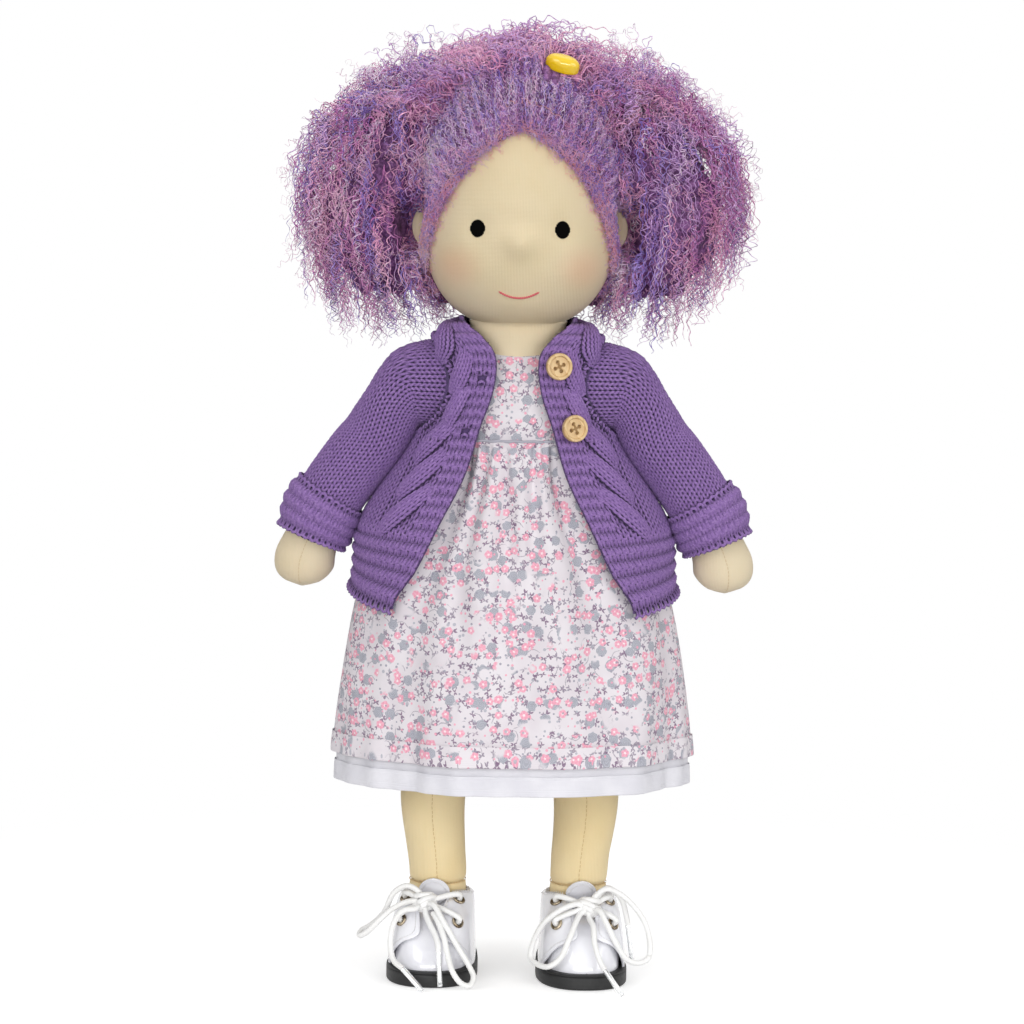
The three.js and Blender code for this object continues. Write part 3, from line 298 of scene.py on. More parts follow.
def place_camera():
    data = bpy.data.cameras.new("camera")
    data.sensor_width = 36
    data.lens = 106.28
    camera = link("camera", data)
    camera.location = (-0.0012, -1.3, 0.29)
    turn = Matrix.Rotation(math.radians(86), 4, "X") @ Matrix.Rotation(math.radians(1.06), 4, "Z")
    camera.rotation_euler = turn.to_euler()
    bpy.context.scene.camera = camera


class Value:
    """A node's output, which can stand in a formula."""

    def __init__(self, net, socket):
        self.net = net
        self.socket = socket

    def __add__(self, other):
        return self.net.math("ADD", self, other)

    def __mul__(self, other):
        return self.net.math("MULTIPLY", self, other)

    def __sub__(self, other):
        return self.net.math("SUBTRACT", self, other)

    def __rsub__(self, other):
        return self.net.math("SUBTRACT", other, self)

    def __lt__(self, other):
        return self.net.math("LESS_THAN", self, other)

    def __gt__(self, other):
        return self.net.math("GREATER_THAN", self, other)

    def __abs__(self):
        return self.net.math("ABSOLUTE", self)

    __radd__ = __add__
    __rmul__ = __mul__


class Net:
    """The node tree of a material or of the world, built from inputs to outputs."""

    def __init__(self, owner):
        self.owner = bpy.data.materials.new(owner) if isinstance(owner, str) else owner
        self.owner.use_nodes = True
        self.tree = self.owner.node_tree
        self.tree.nodes.clear()

    def node(self, kind, inputs, **props):
        node = self.tree.nodes.new("ShaderNode" + kind)
        for key, value in props.items():
            setattr(node, key, value)
        for key, value in inputs.items():
            socket = node.inputs[key]
            if isinstance(value, Value):
                self.tree.links.new(value.socket, socket)
            elif socket.type == "RGBA":
                socket.default_value = (*value[:3], 1)
            else:
                socket.default_value = value
        return node

    def add(self, kind, inputs, out=0, **props):
        return Value(self, self.node(kind, inputs, **props).outputs[out])

    def outputs(self, kind, inputs, **props):
        return [Value(self, socket) for socket in self.node(kind, inputs, **props).outputs]

    def math(self, operation, a, b=0.0):
        return self.add("Math", {0: a, 1: b}, operation=operation)

    def vector(self, operation, a, b=(0, 0, 0)):
        return self.add("VectorMath", {0: a, 1: b}, operation=operation)

    def length(self, v):
        return self.add("VectorMath", {0: v}, 1, operation="LENGTH")

    def split(self, v):
        return self.outputs("SeparateXYZ", {0: v})

    def step(self, value, low, high):
        return self.add("MapRange", {0: value, 1: low, 2: high, 3: 0.0, 4: 1.0},
                        interpolation_type="SMOOTHSTEP")

    def blend(self, share, a, b):
        return self.add("Mix", {0: share, 6: a, 7: b}, 2, data_type="RGBA")

    def noise(self, scale, detail=2.0, roughness=0.5, at=None, out=0):
        inputs = {"Scale": scale, "Detail": detail, "Roughness": roughness}
        inputs["Vector"] = at if at is not None else self.place()
        return self.add("TexNoise", inputs, out)

    def place(self):
        """The place in the object, in metres."""
        return self.add("TexCoord", {}, 3)

    def cloth(self):
        """The place on the cloth, from the mesh's UVs."""
        return self.add("TexCoord", {}, 2)

    def seen(self):
        """1 where the camera looks, by way of a mirror or glass too, and 0 for light on its way to the object."""
        path = self.node("LightPath", {}).outputs
        camera, glossy, through = (Value(self, path[kind + " Ray"])
                                   for kind in ("Is Camera", "Is Glossy", "Is Transmission"))
        return self.math("MAXIMUM", self.math("MAXIMUM", camera, glossy), through)

    def ramp(self, value, stops):
        node = self.node("ValToRGB", {0: value})
        ramp = node.color_ramp
        while len(ramp.elements) < len(stops):
            ramp.elements.new(0.5)
        for element, (place, color) in zip(ramp.elements, stops):
            element.position = place
            element.color = (*color, 1)
        return Value(self, node.outputs[0])

    def bump(self, height, distance, strength):
        return self.add("Bump", {"Height": height, "Distance": distance, "Strength": strength})

    def finish(self, color, roughness, normal, **more):
        inputs = {"Base Color": color, "Roughness": roughness, "Normal": normal}
        inputs.update((key.replace("_", " "), value) for key, value in more.items())
        self.node("OutputMaterial", {0: self.add("BsdfPrincipled", inputs)})
        return self.owner


def srgb(r, g, b):
    """A colour given as 8-bit display values, in linear light."""
    return tuple((c / 255 / 12.92) if c <= 10 else ((c / 255 + 0.055) / 1.055) ** 2.4 for c in (r, g, b))


def darker(color, share):
    return tuple(c * share for c in color)


def grained_material(name, tint, grain, rough, depth, strength, dark, light, **more):
    """Two close colours and a bump, each from a noise given as (scale, detail)."""
    net = Net(name)
    return net.finish(net.blend(net.noise(*tint), dark, light), rough, net.bump(net.noise(*grain), depth, strength),
                      **more)


def make_floor():
    """A white ground that keeps the object's shadow near it and fades to pure white."""
    net = Net("floor")
    fade = net.step(net.length(net.place()), 0.16, 0.42)
    diffuse = net.add("BsdfDiffuse", {"Color": (0.9, 0.9, 0.9)})
    lift = net.add("Emission", {"Color": (1, 1, 1), "Strength": net.seen() * 0.45})
    white = net.add("Emission", {"Color": (1, 1, 1), "Strength": net.seen()})
    near = net.add("AddShader", {0: diffuse, 1: lift})
    net.node("OutputMaterial", {0: net.add("MixShader", {0: fade, 1: near, 2: white})})
    sides = 64
    turn = turns(sides)
    rings = [xyz(r * np.cos(turn), r * np.sin(turn), 0.0) for r in (40, 600, 4000)]
    verts = np.vstack(rings + [[[0, 0, 0]]])
    j = np.arange(sides)
    middle = np.stack([j, (j + 1) % sides, np.full(sides, sides * len(rings))], 1)
    floor = add_mesh("floor", verts, [grid_faces(len(rings), sides, True)[:, ::-1], middle], net.owner, False)
    floor.location.z = -0.0002


def make_light():
    world = bpy.data.worlds.new("studio")
    bpy.context.scene.world = world
    net = Net(world)
    strength = net.add("MapRange", {"Value": net.seen(), "To Min": WORLD_LIGHT})
    net.node("OutputWorld", {0: net.add("Background", {"Color": (1, 1, 1), "Strength": strength})})
    for name, place, size, watts in LAMPS:
        data = bpy.data.lights.new(name, "AREA")
        data.shape = "RECTANGLE"
        data.size, data.size_y = size
        data.energy = watts
        lamp = link(name, data)
        lamp.location = place
        aim = Vector((0, 0, 0.2)) - Vector(place)
        lamp.rotation_euler = aim.to_track_quat("-Z", "Y").to_euler()


WORLD_LIGHT = 0.6
LAMPS = (
    ("key", (-1.1, -1.6, 0.9), (0.9, 0.9), 8.0),
    ("fill", (1.3, -1.3, 0.6), (0.9, 1.2), 9.0),
    ("front", (0.0, -2.0, 0.0), (1.8, 0.4), 27.0),
    ("top", (0.0, 0.3, 1.9), (1.4, 1.0), 3.0),
)

place_camera()
make_floor()
make_light()

# ---- laces

LACE = 2.4
LACE_IN_TIP = 0.86
AGLET_LENGTH = 15
AGLET_SHARES = np.array([0.02, 0.02, 0.05, 0.5, 0.95, 1.0, 1.0])
AGLET_RADII = np.array([0.98, 1.12, 1.17, 1.13, 1.1, 1.0, 0.55])
LEFT_LACE = {
    "knot": (34.8, -25.5, 32.8),
    "loop_inner": [
        (29.3, -28.4, 34.4), (22.4, -33, 32.6), (15.2, -30.6, 26), (11.3, -28, 17.6), (10.2, -28, 11.2),
        (13, -33, 9.2), (18, -38, 9.4), (22.8, -39, 13.4), (26, -38.5, 20.6), (28.8, -34.5, 27),
        (31, -29.6, 30.4)],
    "loop_outer": [
        (37.4, -25, 37.2), (42, -24.5, 40.4), (48.2, -24, 38), (54.8, -24, 32), (59.2, -24, 25),
        (61.2, -24.5, 16.4),
        (60.4, -25.5, 11), (56.2, -28, 9.4), (51, -31, 11.6), (46.4, -33.6, 18.8), (42, -33, 27.4),
        (39.4, -31, 31.8)],
    "end_front": [(34.9, -28.6, 28.6), (36.5, -33.4, 25.8), (37.3, -37.4, 18.6), (39.8, -40.6, 11.8),
                  (41.4, -42.8, 9.4)],
    "end_outer": [(39, -21.6, 37), (42.8, -19.2, 39.8), (48.6, -19.2, 35.2), (50.8, -19.6, 28.6),
                  (51.6, -20, 24.8)],
    "tip_front": (48.4, -53.6, 1.3),
    "tip_outer": (53.6, -20.8, 10),
}
RIGHT_LACE = {
    "knot": (-35.3, -25, 33.6),
    "loop_inner": [
        (-31.4, -30.4, 33.4), (-27, -34.8, 27), (-20.8, -37.4, 17), (-16, -38.6, 9.4), (-13.8, -41, 4.8),
        (-15.4, -43.6, 1.8), (-19, -44.6, 3), (-22.8, -44, 8), (-25.2, -40.4, 15.2), (-26.8, -38, 21.4),
        (-30.4, -32, 28.4)],
    "loop_outer": [
        (-38, -23.6, 37.6), (-43.1, -22.6, 39.8), (-48.6, -22, 36.6), (-53, -21.4, 27.6), (-58, -21.4, 22.6),
        (-62.4, -22.6, 20), (-62.8, -26, 18.6), (-59, -28, 21.2), (-54.4, -28.4, 26), (-49.4, -28.6, 30.6),
        (-43.8, -28, 33.6), (-41, -26.6, 34)],
    "end_front": [(-34.8, -28.8, 29.4), (-33.4, -32.2, 26.4), (-30.2, -37.6, 21.4), (-29, -40.6, 18),
                  (-28.8, -41.2, 16.2)],
    "end_outer": [(-39.4, -30.6, 31.6), (-44.5, -32, 30.8), (-48.2, -31.8, 25.4), (-49.4, -33.6, 17.4),
                  (-47.8, -37.6, 10.8), (-44, -41.8, 8.4)],
    "tip_front": (-27.8, -45.2, 1.3),
    "tip_outer": (-35, -52.6, 1.3),
}
LACES = {"left": LEFT_LACE, "right": RIGHT_LACE}


def braided(path, radius, pitch=1.5, sides=20):
    """A round braid along a path: two families of strands that pass over and under each other."""
    verts, quads, caps = tubes(path[None], radius, sides)
    strands = 4 * turns(sides)[None, :]
    twist = run_along(path)[:, None] / pitch * 2 * math.pi
    lift = 0.09 * np.maximum(np.cos(strands + twist), np.cos(strands - twist)) - 0.05
    centre = np.repeat(path, sides, 0)
    return centre + (verts - centre) * (1 + lift.reshape(-1, 1)), [quads, caps]


def braid(name, path, radius=LACE / 2):
    return add_mesh(name, *braided(path, radius), MATERIALS["lace"])


def lace_run(rows, lead, close):
    points = [lead, *rows, close]
    length = sum(np.linalg.norm(np.subtract(a, b)) for a, b in zip(points, points[1:]))
    return spline(points, int(length / 0.3))


def declare_lace(lace, path, far_end, **more):
    path[0] * MM
    (path[::4] * MM).tolist() + [(path[-1] * MM).tolist()]


def toward(point, goal, step):
    point, goal = np.asarray(point, float), np.asarray(goal, float)
    return point + (goal - point) / np.linalg.norm(goal - point) * step


def make_laces(side):
    route = LACES[side]
    body = side + "_leg"
    knot = np.array(route["knot"], float)
    for way in ("inner", "outer"):
        rows = route["loop_" + way]
        path = lace_run(rows, toward(rows[0], knot, 2.6), toward(rows[-1], knot, 2.6))
        loop = braid("bow_loop_" + way + "_" + side, path)
        attach(loop, body, "lace_cotton", "lace_loop_" + way + "_" + side)
        declare_lace(loop, path, "object")
    for way in ("front", "outer"):
        rows = route["end_" + way]
        end = np.array(rows[-1], float)
        along = unit(np.array(route["tip_" + way], float) - end)
        stop = end + along * (AGLET_LENGTH - 1.5)
        path = lace_run(rows, toward(rows[0], knot, 2.4), end + along * 1.2)
        inside = spline([path[-1], mix(path[-1], stop, 0.5), stop], 40)
        whole = np.vstack([path, inside[1:]])
        radius = np.concatenate([np.full(len(path) - 6, LACE / 2), np.linspace(LACE / 2, LACE_IN_TIP, 10),
                                 np.full(len(whole) - len(path) - 4, LACE_IN_TIP)])
        free = braid("bow_end_" + way + "_" + side, whole, radius)
        attach(free, body, "lace_cotton", "lace_end_" + way + "_" + side)
        line = end + along * 0.3 + AGLET_SHARES[:, None] * along * AGLET_LENGTH
        aglet = tube_object("lace_tip_" + way + "_" + side, line[None], AGLET_RADII, 20, MATERIALS["clear"])
        attach(aglet, body, "clear_plastic", "aglet_" + way + "_" + side)
        declare_lace(free, whole, "fitting", with_pieces=[aglet])


# ---- body forms, the same as the solids'

HIP_HEIGHT = 150
TORSO_BOTTOM = 167.6
TORSO_HEIGHT = 100
HEAD_BOTTOM = 280.6
HEAD_HEIGHT = 102
HEAD_HALF = (41, 43)
HEAD_FORWARD = 3
HEAD_TOP = HEAD_BOTTOM + HEAD_HEIGHT
HEAD_WIDEST = 321.4
WAIST = 230.6
SHOULDER = 253.6
COLLAR_HEIGHT = 281.6
EYE_SIDE, EYE_HEIGHT = 17.6, 319.6
EYE_HALF = (3.05, 3.75)
MOUTH_HALF, MOUTH_HEIGHT = 8.5, 293.8
FACE_RELIEF = (
    # depth, distance from the middle, height, half width, half height
    (3.4, 0, 313.1, 6.2, 6.0),  # nose
    (1.0, 22, 303, 11, 11),  # cheeks
    (-1.5, EYE_SIDE, EYE_HEIGHT, 5.5, 6.5),  # where the eye threads pull
    (-0.9, 0, 322, 12, 5),  # bridge of the nose
    (0.9, 0, 287, 11, 5),  # chin
)


torso_width = curve_through([(0, 0.8), (0.05, 0.93), (0.17, 1), (0.4, 0.93), (0.63, 0.87), (0.8, 0.92),
                             (0.88, 0.91), (0.94, 0.8), (1, 0.59)])
torso_depth = curve_through([(0, 0.74), (0.05, 0.9), (0.17, 1), (0.4, 1), (0.63, 0.94), (0.8, 0.92),
                             (0.88, 0.86), (0.94, 0.8), (1, 0.72)])
flare = curve_through([(0, 0), (0.1, 0.12), (0.24, 0.36), (0.34, 0.55), (0.42, 0.69), (0.53, 0.82),
                       (0.75, 0.94), (1, 1)])


def torso_size(height):
    share = (np.asarray(height, float) - TORSO_BOTTOM) / TORSO_HEIGHT
    return 38 * torso_width(share), 27 * torso_depth(share)


def head_share(height):
    height = np.asarray(height, float)
    below = height < HEAD_WIDEST
    reach = np.where(below, (HEAD_WIDEST - HEAD_BOTTOM) * 1.07, HEAD_TOP - HEAD_WIDEST)
    power = np.where(below, 2.3, 2.05)
    rise = np.clip(np.abs(height - HEAD_WIDEST) / reach, 0, 1)
    return (1 - rise ** power) ** (1 / power)


def face_relief(x, z):
    """How far the face stands forward of the plain ball."""
    return sum(depth * np.exp(-((np.abs(x) - side) / wide) ** 2 - ((z - height) / high) ** 2)
               for depth, side, height, wide, high in FACE_RELIEF)


def face_point(x, z):
    share = head_share(z)
    across = np.clip(x / (HEAD_HALF[0] * share), -1, 1)
    depth = HEAD_HALF[1] * share * np.sqrt(1 - across ** 2)
    return xyz(x, -HEAD_FORWARD - depth - face_relief(x, z), z)


RIB_PITCH, COURSE_PITCH = 0.00062, 0.00052
BLUSH_AT = (0.0275, -0.034, 0.3035)


def face_normal(x, z):
    step = 0.4
    side = face_point(x + step, z) - face_point(x - step, z)
    rise = face_point(x, z + step) - face_point(x, z - step)
    return unit(np.cross(side, rise))


def jersey_material(name, base, warm, blush=False):
    """Fine knitted cotton: vertical ribs half a millimetre apart, soft shading from the stuffing."""
    net = Net(name)
    at = net.place()
    across, _, up = net.split(at)
    ribs = net.math("SINE", across * (2 * math.pi / RIB_PITCH))
    courses = net.math("SINE", up * (2 * math.pi / COURSE_PITCH) + net.noise(220, 2, at=at) * 5.0)
    knit = ribs * 0.55 + courses * 0.45
    height = knit + net.noise(2400, 3, at=at) * 1.1
    tint = net.blend(net.step(net.noise(24, 3, at=at), 0.35, 0.65), base, warm)
    # painted shade that follows the knit's ribs and courses: the colour darkens a little with the knit's relief
    tint = net.blend((knit + 1.0) * 0.06, tint, darker(warm, 0.55))
    if blush:
        for way in (-1, 1):
            spot = net.vector("SUBTRACT", at, (way * BLUSH_AT[0], *BLUSH_AT[1:]))
            spot = net.vector("MULTIPLY", spot, (1.0, 0.6, 1.25))
            near = 1.0 - net.step(net.length(spot), 0.001, 0.0165)
            tint = net.blend(near * 0.36, tint, srgb(240, 176, 142))
    return net.finish(tint, 0.88, net.bump(height, 0.00012, 0.55), Sheen_Weight=0.12, Sheen_Roughness=0.6,
                      Subsurface_Weight=0.05, Subsurface_Radius=(0.004, 0.002, 0.0012))


def thread_material(name, base, dark, rough=0.6, sheen=0.25, gloss=0.5):
    return grained_material(name, (1500, 3), (1500, 3), rough, 0.0001, 0.5, srgb(*dark), srgb(*base),
                            Sheen_Weight=sheen, Specular_IOR_Level=gloss)


def make_head():
    rows, columns = 120, 160
    angle = np.linspace(-math.pi / 2 * 0.995, math.pi / 2 * 0.995, rows)
    reach = np.where(angle < 0, HEAD_WIDEST - HEAD_BOTTOM, HEAD_TOP - HEAD_WIDEST)
    z = (HEAD_WIDEST + np.sin(angle) * reach)[:, None]
    turn = turns(columns)
    share = head_share(z)
    x = HEAD_HALF[0] * share * np.cos(turn)
    front = smooth(0, 0.25, -np.sin(turn))
    y = -HEAD_FORWARD + HEAD_HALF[1] * share * np.sin(turn) - face_relief(x, z) * front
    head = closed_skin("head_jersey", xyz(x, y, z), MATERIALS["face"])
    attach(head, "head", "jersey", "head")
    for side, way in SIDES:
        make_eye(side, way)
        make_ear(side, way)
    make_mouth()


def make_mouth():
    """Two threads wound round each other along a shallow curve."""
    x = np.linspace(-MOUTH_HALF, MOUTH_HALF, 90)
    z = MOUTH_HEIGHT - 2.7 * (1 - (x / MOUTH_HALF) ** 2)
    line = face_point(x, z)
    out = face_normal(x, z)
    sideways = np.cross(out, unit(np.gradient(line, axis=0)))
    strands = []
    for start in (0, math.pi):
        turn = x / 0.9 * math.pi + start
        strands.append(line + out * (0.12 + 0.2 * np.cos(turn))[:, None]
                       + sideways * (0.22 * np.sin(turn))[:, None])
    radius = 0.3 * np.clip((MOUTH_HALF + 0.1 - np.abs(x)) / 0.9, 0.25, 1)
    mouth = tube_object("mouth_thread", strands, radius, 8, MATERIALS["mouth"])
    attach(mouth, "head", "mouth_cotton", "mouth_stitch")


def make_eye(side, way):
    """A satin-stitched oval: threads laid side by side over a slight dome."""
    strands = []
    t = np.linspace(-1, 1, 25)
    for offset in np.linspace(-0.93, 0.93, 13):
        x = way * EYE_SIDE + offset * EYE_HALF[0] + 0.05 * np.sin(9 * t + 5 * offset)
        z = EYE_HEIGHT + EYE_HALF[1] * math.sqrt(1 - offset ** 2) * t
        lift = 0.42 * np.sqrt(np.clip(1 - offset ** 2 * 0.8 - 0.55 * t ** 2, 0.0, 1)) - 0.16
        strands.append(face_point(x, z) + face_normal(x, z) * lift[:, None])
    radius = 0.34 * np.clip((1.04 - np.abs(t)) * 5, 0.4, 1)
    eye = tube_object("eye_thread_" + side, strands, radius, 8, MATERIALS["eye"])
    attach(eye, "head", "eye_thread", "eye_" + side)


def make_ear(side, way):
    """A small sewn ear with a soft rim."""
    u = np.linspace(-1, 1, 36)[:, None]
    v = turns(28)
    wide = np.cos(u * math.pi / 2)
    x = way * (41.2 + wide * (2.5 + 2.5 * np.cos(v)))
    cup = 0.9 * bell(u / 0.55) * smooth(0.2, 0.9, -np.sin(v))
    y = 0.8 + wide * 2.6 * np.sin(v) + cup
    z = HEAD_BOTTOM + 40.5 + 8.0 * np.sin(u * math.pi / 2)
    ear = closed_skin("ear_jersey_" + side, xyz(x, y, z), MATERIALS["jersey"])
    attach(ear, "head", "jersey", "ear_" + side)


def make_torso():
    z = np.linspace(TORSO_BOTTOM, TORSO_BOTTOM + TORSO_HEIGHT, 50)
    wide, deep = torso_size(z)
    hidden = 1 - smooth(219, 231, z)
    neck_z = np.linspace(270.5, 281.5, 12)
    pull = 0.7 * bell((neck_z - 279.2) / 1.6)
    z = np.concatenate([z, neck_z])[:, None]
    wide = np.concatenate([wide - 2.0 * hidden, 21.3 - pull])[:, None]
    deep = np.concatenate([deep - 3.0 * hidden, 19.0 - pull])[:, None]
    turn = turns(80)
    torso = closed_skin("torso_jersey", xyz(wide * np.cos(turn), deep * np.sin(turn), z), MATERIALS["jersey"])
    attach(torso, "torso", "jersey", "torso")


# ---- arms

ARM_ROWS = [(0, 0), (0.085, 0), (0.2, 0.004), (0.33, 0.088), (0.45, 0.285), (0.58, 0.4), (0.71, 0.515),
            (0.83, 0.64), (0.92, 0.755), (0.985, 0.88), (1, 1)]
ARM_START = float(torso_size(SHOULDER)[0]) + 0.3
ARM_PATH = spline([(ARM_START + 56 * out, 0, SHOULDER - 88 * down) for out, down in ARM_ROWS], 400)
ARM_SLOPE = unit(np.gradient(ARM_PATH, axis=0))
ARM_LENGTH = np.linalg.norm(np.diff(ARM_PATH, axis=0), axis=1).sum()


def arm_frame(share, way):
    """Centre, across and along of the arm at shares of its length, for one side."""
    steps = np.arange(len(ARM_PATH))
    i = np.clip(share, 0, 1) * steps[-1]
    along = unit(looked_up(i, steps, ARM_SLOPE))
    across = unit(np.cross(np.array([0, 1.0, 0]), along))
    flip = np.array([way, 1, 1])
    return looked_up(i, steps, ARM_PATH) * flip, across * flip, along * flip


def arm_rings(share, wide, deep, turn, way):
    at, across, _ = arm_frame(share, way)
    ring = at[:, None] + across[:, None] * (wide[:, None] * np.cos(turn))[..., None]
    ring[..., 1] += deep[:, None] * np.sin(turn)
    return ring


hand_wide = curve_through([(0, 12), (0.08, 11), (0.19, 8.4), (0.3, 9.2), (0.42, 10.0), (0.6, 9.9), (0.76, 10.6),
                           (0.84, 12.1), (0.9, 13), (0.95, 11.2), (0.985, 6.5), (1, 0.5)])
hand_deep = curve_through([(0, 12), (0.4, 12), (0.6, 11.4), (0.76, 10.6), (0.84, 10), (0.9, 10.5), (0.95, 9.1),
                           (0.985, 5.3), (1, 0.4)])


def make_arm(side, way):
    s = np.concatenate([np.linspace(0, 0.8, 40), 1 - 0.2 * np.cos(np.linspace(0, math.pi / 2, 34)[1:])])
    s = np.clip(s, 0, 0.9995)
    turn = turns(56)
    rings = arm_rings(s, hand_wide(s), hand_deep(s), turn, way)
    centre = rings.mean(1, keepdims=True)
    # the seam between the fingers and the thumb draws the front of the mitten in
    pull = 0.045 * smooth(0.75, 0.8, s)[:, None] * bell((np.cos(turn) + 0.1) / 0.14) * (np.sin(turn) < 0)
    rings = centre + (rings - centre) * (1 - pull)[..., None]
    arm = closed_skin("arm_jersey_" + side, rings, MATERIALS["jersey"])
    attach(arm, side + "_arm", "jersey", "arm_" + side)
    seam(side + "_arm", "hand_seam_" + side, rings[40:72, 41], MATERIALS["jersey_thread"], 0.17)


def seam(body, name, line, material, radius, pitch=1.7, out=None, slot="jersey"):
    """A run of small stitches along a line that lies on a surface."""
    points = 7
    run = run_along(line)
    rise = np.sin(np.linspace(0, math.pi, points)) * radius * 0.9 - radius * 0.35
    paths = []
    for start in np.arange(0.3, run[-1] - pitch, pitch):
        t = np.linspace(start, start + pitch * 0.72, points)
        p = looked_up(t, run, line)
        paths.append(p if out is None else p + looked_up(t, run, out) * rise[:, None])
    attach(tube_object(name, paths, radius, 6, material), body, slot)


LEG_BOTTOM, LEG_TOP_RADIUS, LEG_TOP_SPREAD = 39, 17, 22.0


# ---- legs and feet

leg_spread = curve_through([(0, 30.5), (0.36, 33), (1, 22)])
leg_radius = curve_through([(0, 12.3), (0.36, 14.2), (1, 17)])


def make_leg(side, way):
    s = np.linspace(0, 1, 60)
    ball = np.sin(np.linspace(0, math.pi / 2, 16)[1:-1])
    z = np.concatenate([LEG_BOTTOM + (HIP_HEIGHT - LEG_BOTTOM) * s, HIP_HEIGHT + LEG_TOP_RADIUS * ball])[:, None]
    x = np.concatenate([leg_spread(s), np.full(len(ball), LEG_TOP_SPREAD)])[:, None]
    r = np.concatenate([leg_radius(s), LEG_TOP_RADIUS * np.sqrt(1 - ball ** 2)])[:, None]
    turn = turns(72)
    ankle = 0.7 * bell((z - LEG_BOTTOM) / 1.3)
    wrinkle = 0.22 * np.sin(z / 3.1) * bell((z - 46) / 9) * np.cos(3 * turn + 1)
    front_seam = 0.35 * bell((turn - 1.5 * math.pi) / 0.05)
    rr = r - ankle + wrinkle - front_seam
    rings = xyz(way * x + rr * np.cos(turn), rr * np.sin(turn), z)
    top = np.array([way * LEG_TOP_SPREAD, 0, HIP_HEIGHT + LEG_TOP_RADIUS])
    leg = closed_skin("leg_jersey_" + side, rings, MATERIALS["leg"], last=top)
    attach(leg, side + "_leg", "leg_jersey", "leg_" + side)
    line = rings[1:58, 54]
    line = line + xyz(0.12 * np.sin(line[:, 2] * 1.1), 0, 0)
    out = np.broadcast_to(np.array([0, -1.0, 0]), line.shape)
    seam(side + "_leg", "leg_seam_" + side, line, MATERIALS["leg_thread"], 0.17, 1.9, out, "leg_jersey")


# ---- shoes, in a frame of their own with the ankle over the origin and the toe towards -Y

SOLE_FRONT, SOLE_BACK, SOLE_HALF = 42, 18.5, 19.2
SOLE_LENGTH = SOLE_FRONT + SOLE_BACK
SOLE_MIDDLE = (SOLE_BACK - SOLE_FRONT) / 2
SOLE_THICK, HEEL_HIGH, HEEL_LONG = 6.5, 13.5, 17
WELT, LEATHER, GAP = 1.9, 1.2, 0.3
TOE_OUT, ANKLE_SPREAD = 0.09, 30.5
BALL_SHARE = 0.42
collar_height = curve_through([(0, 29), (0.1, 33.5), (0.25, 32.5), (0.5, 37)])
heel_top = curve_through([(BALL_SHARE, 0), (1, 1)])
facing_angle = curve_through([(0, 1.12), (0.15, 0.9), (0.28, 0.6), (0.38, 0.3), (0.46, 0.2), (0.62, 0.27),
                              (0.8, 0.42), (1, 0.6)])
vamp_angle = curve_through([(0, 1.45), (0.6, 0.75)])
EYELETS = ((0.64, 0.5), (0.74, 0.78))
EYELET_PIPE, EYELET_PIPE_HEIGHT = 2.15, 0.42
EYELET_BORE = ((1.62, 0.35), (1.5, -0.2), (1.5, -0.55), (0.02, -0.6))
SOLE_RINGS = (
    # inset, narrowing, place from the underside (0) to the top (1), lift
    *((1.2, k, 0, 0) for k in (0.02, 0.3, 0.6, 0.85, 1)),
    (0.35, 1, 0, 0.12), (0.08, 1, 0, 0.45), (0, 1, 0, 1.0), (0, 1, 0.2, 0.58), (0, 1, 0.4, 0.16),
    (0, 1, 0.6, -0.26),
    (0, 1, 0.8, -0.68), (0, 1, 1, -1.1), (0.5, 1, 1, -0.95), (0.55, 1, 1, -0.8), (0.05, 1, 1, -0.6),
    (0.1, 1, 1, -0.2),
    (0.4, 1, 1, 0),
    *((1.4, k, 1, 0) for k in (1, 0.7, 0.35, 0.02)),
)


def sole_edge(angle, inset):
    c, s = np.cos(angle), np.sin(angle)
    half = SOLE_HALF * (1 + 0.13 * c) - inset
    x = half * np.sign(s) * np.abs(s) ** 0.86
    y = SOLE_MIDDLE - (SOLE_LENGTH / 2 - inset) * np.sign(c) * np.abs(c) ** 0.94
    return x, y


def sole_top(y):
    return mix(SOLE_THICK, HEEL_HIGH, heel_top((y + SOLE_FRONT) / SOLE_LENGTH))


def last_point(angle, t):
    angle, t = np.broadcast_arrays(np.asarray(angle, float), np.asarray(t, float))
    turn = np.abs(angle) / (2 * math.pi)
    x, y = sole_edge(angle, WELT + LEATHER)
    low = sole_top(y) + GAP
    high = collar_height(np.minimum(turn, 1 - turn))
    inward = 1 - np.cos(t * math.pi / 2)
    rise = np.sin(t * math.pi / 2) ** 1.15
    return np.stack([mix(x, 13.6 * np.sin(angle), inward), mix(y, -14.8 * np.cos(angle), inward),
                     mix(low, high, rise)], -1)


def last_normal(angle, t):
    step = 0.01
    around = last_point(angle + step, t) - last_point(angle - step, t)
    high = np.minimum(1, t + step)
    low = np.maximum(step / 2, high - 2 * step)
    return unit(np.cross(around, last_point(angle, high) - last_point(angle, low)))


def shoe_point(angle, t, layer):
    angle, t = np.broadcast_arrays(np.asarray(angle, float), np.asarray(t, float))
    p = last_point(angle, t) + last_normal(angle, t) * np.asarray(layer, float)[..., None]
    _, y = sole_edge(angle, WELT)
    p[..., 2] = np.maximum(p[..., 2], sole_top(y) + 0.1)
    return p


def on_foot(p, way):
    """From the shoe's own frame to the doll's, for one side."""
    p = np.asarray(p, float)
    c, s = math.cos(TOE_OUT), math.sin(TOE_OUT)
    x = p[..., 0] * c - p[..., 1] * s
    y = p[..., 0] * s + p[..., 1] * c
    return np.stack([way * (x + ANKLE_SPREAD), y, p[..., 2]], -1)


def rubber_material():
    net = Net("black_rubber")
    grain = net.noise(900, 3)
    worn = net.step(net.noise(70, 3), 0.55, 0.8)
    return net.finish(net.blend(worn * 0.5, srgb(9, 9, 10), srgb(26, 26, 29)), grain * 0.25 + 0.42,
                      net.bump(grain, 0.00012, 0.35))


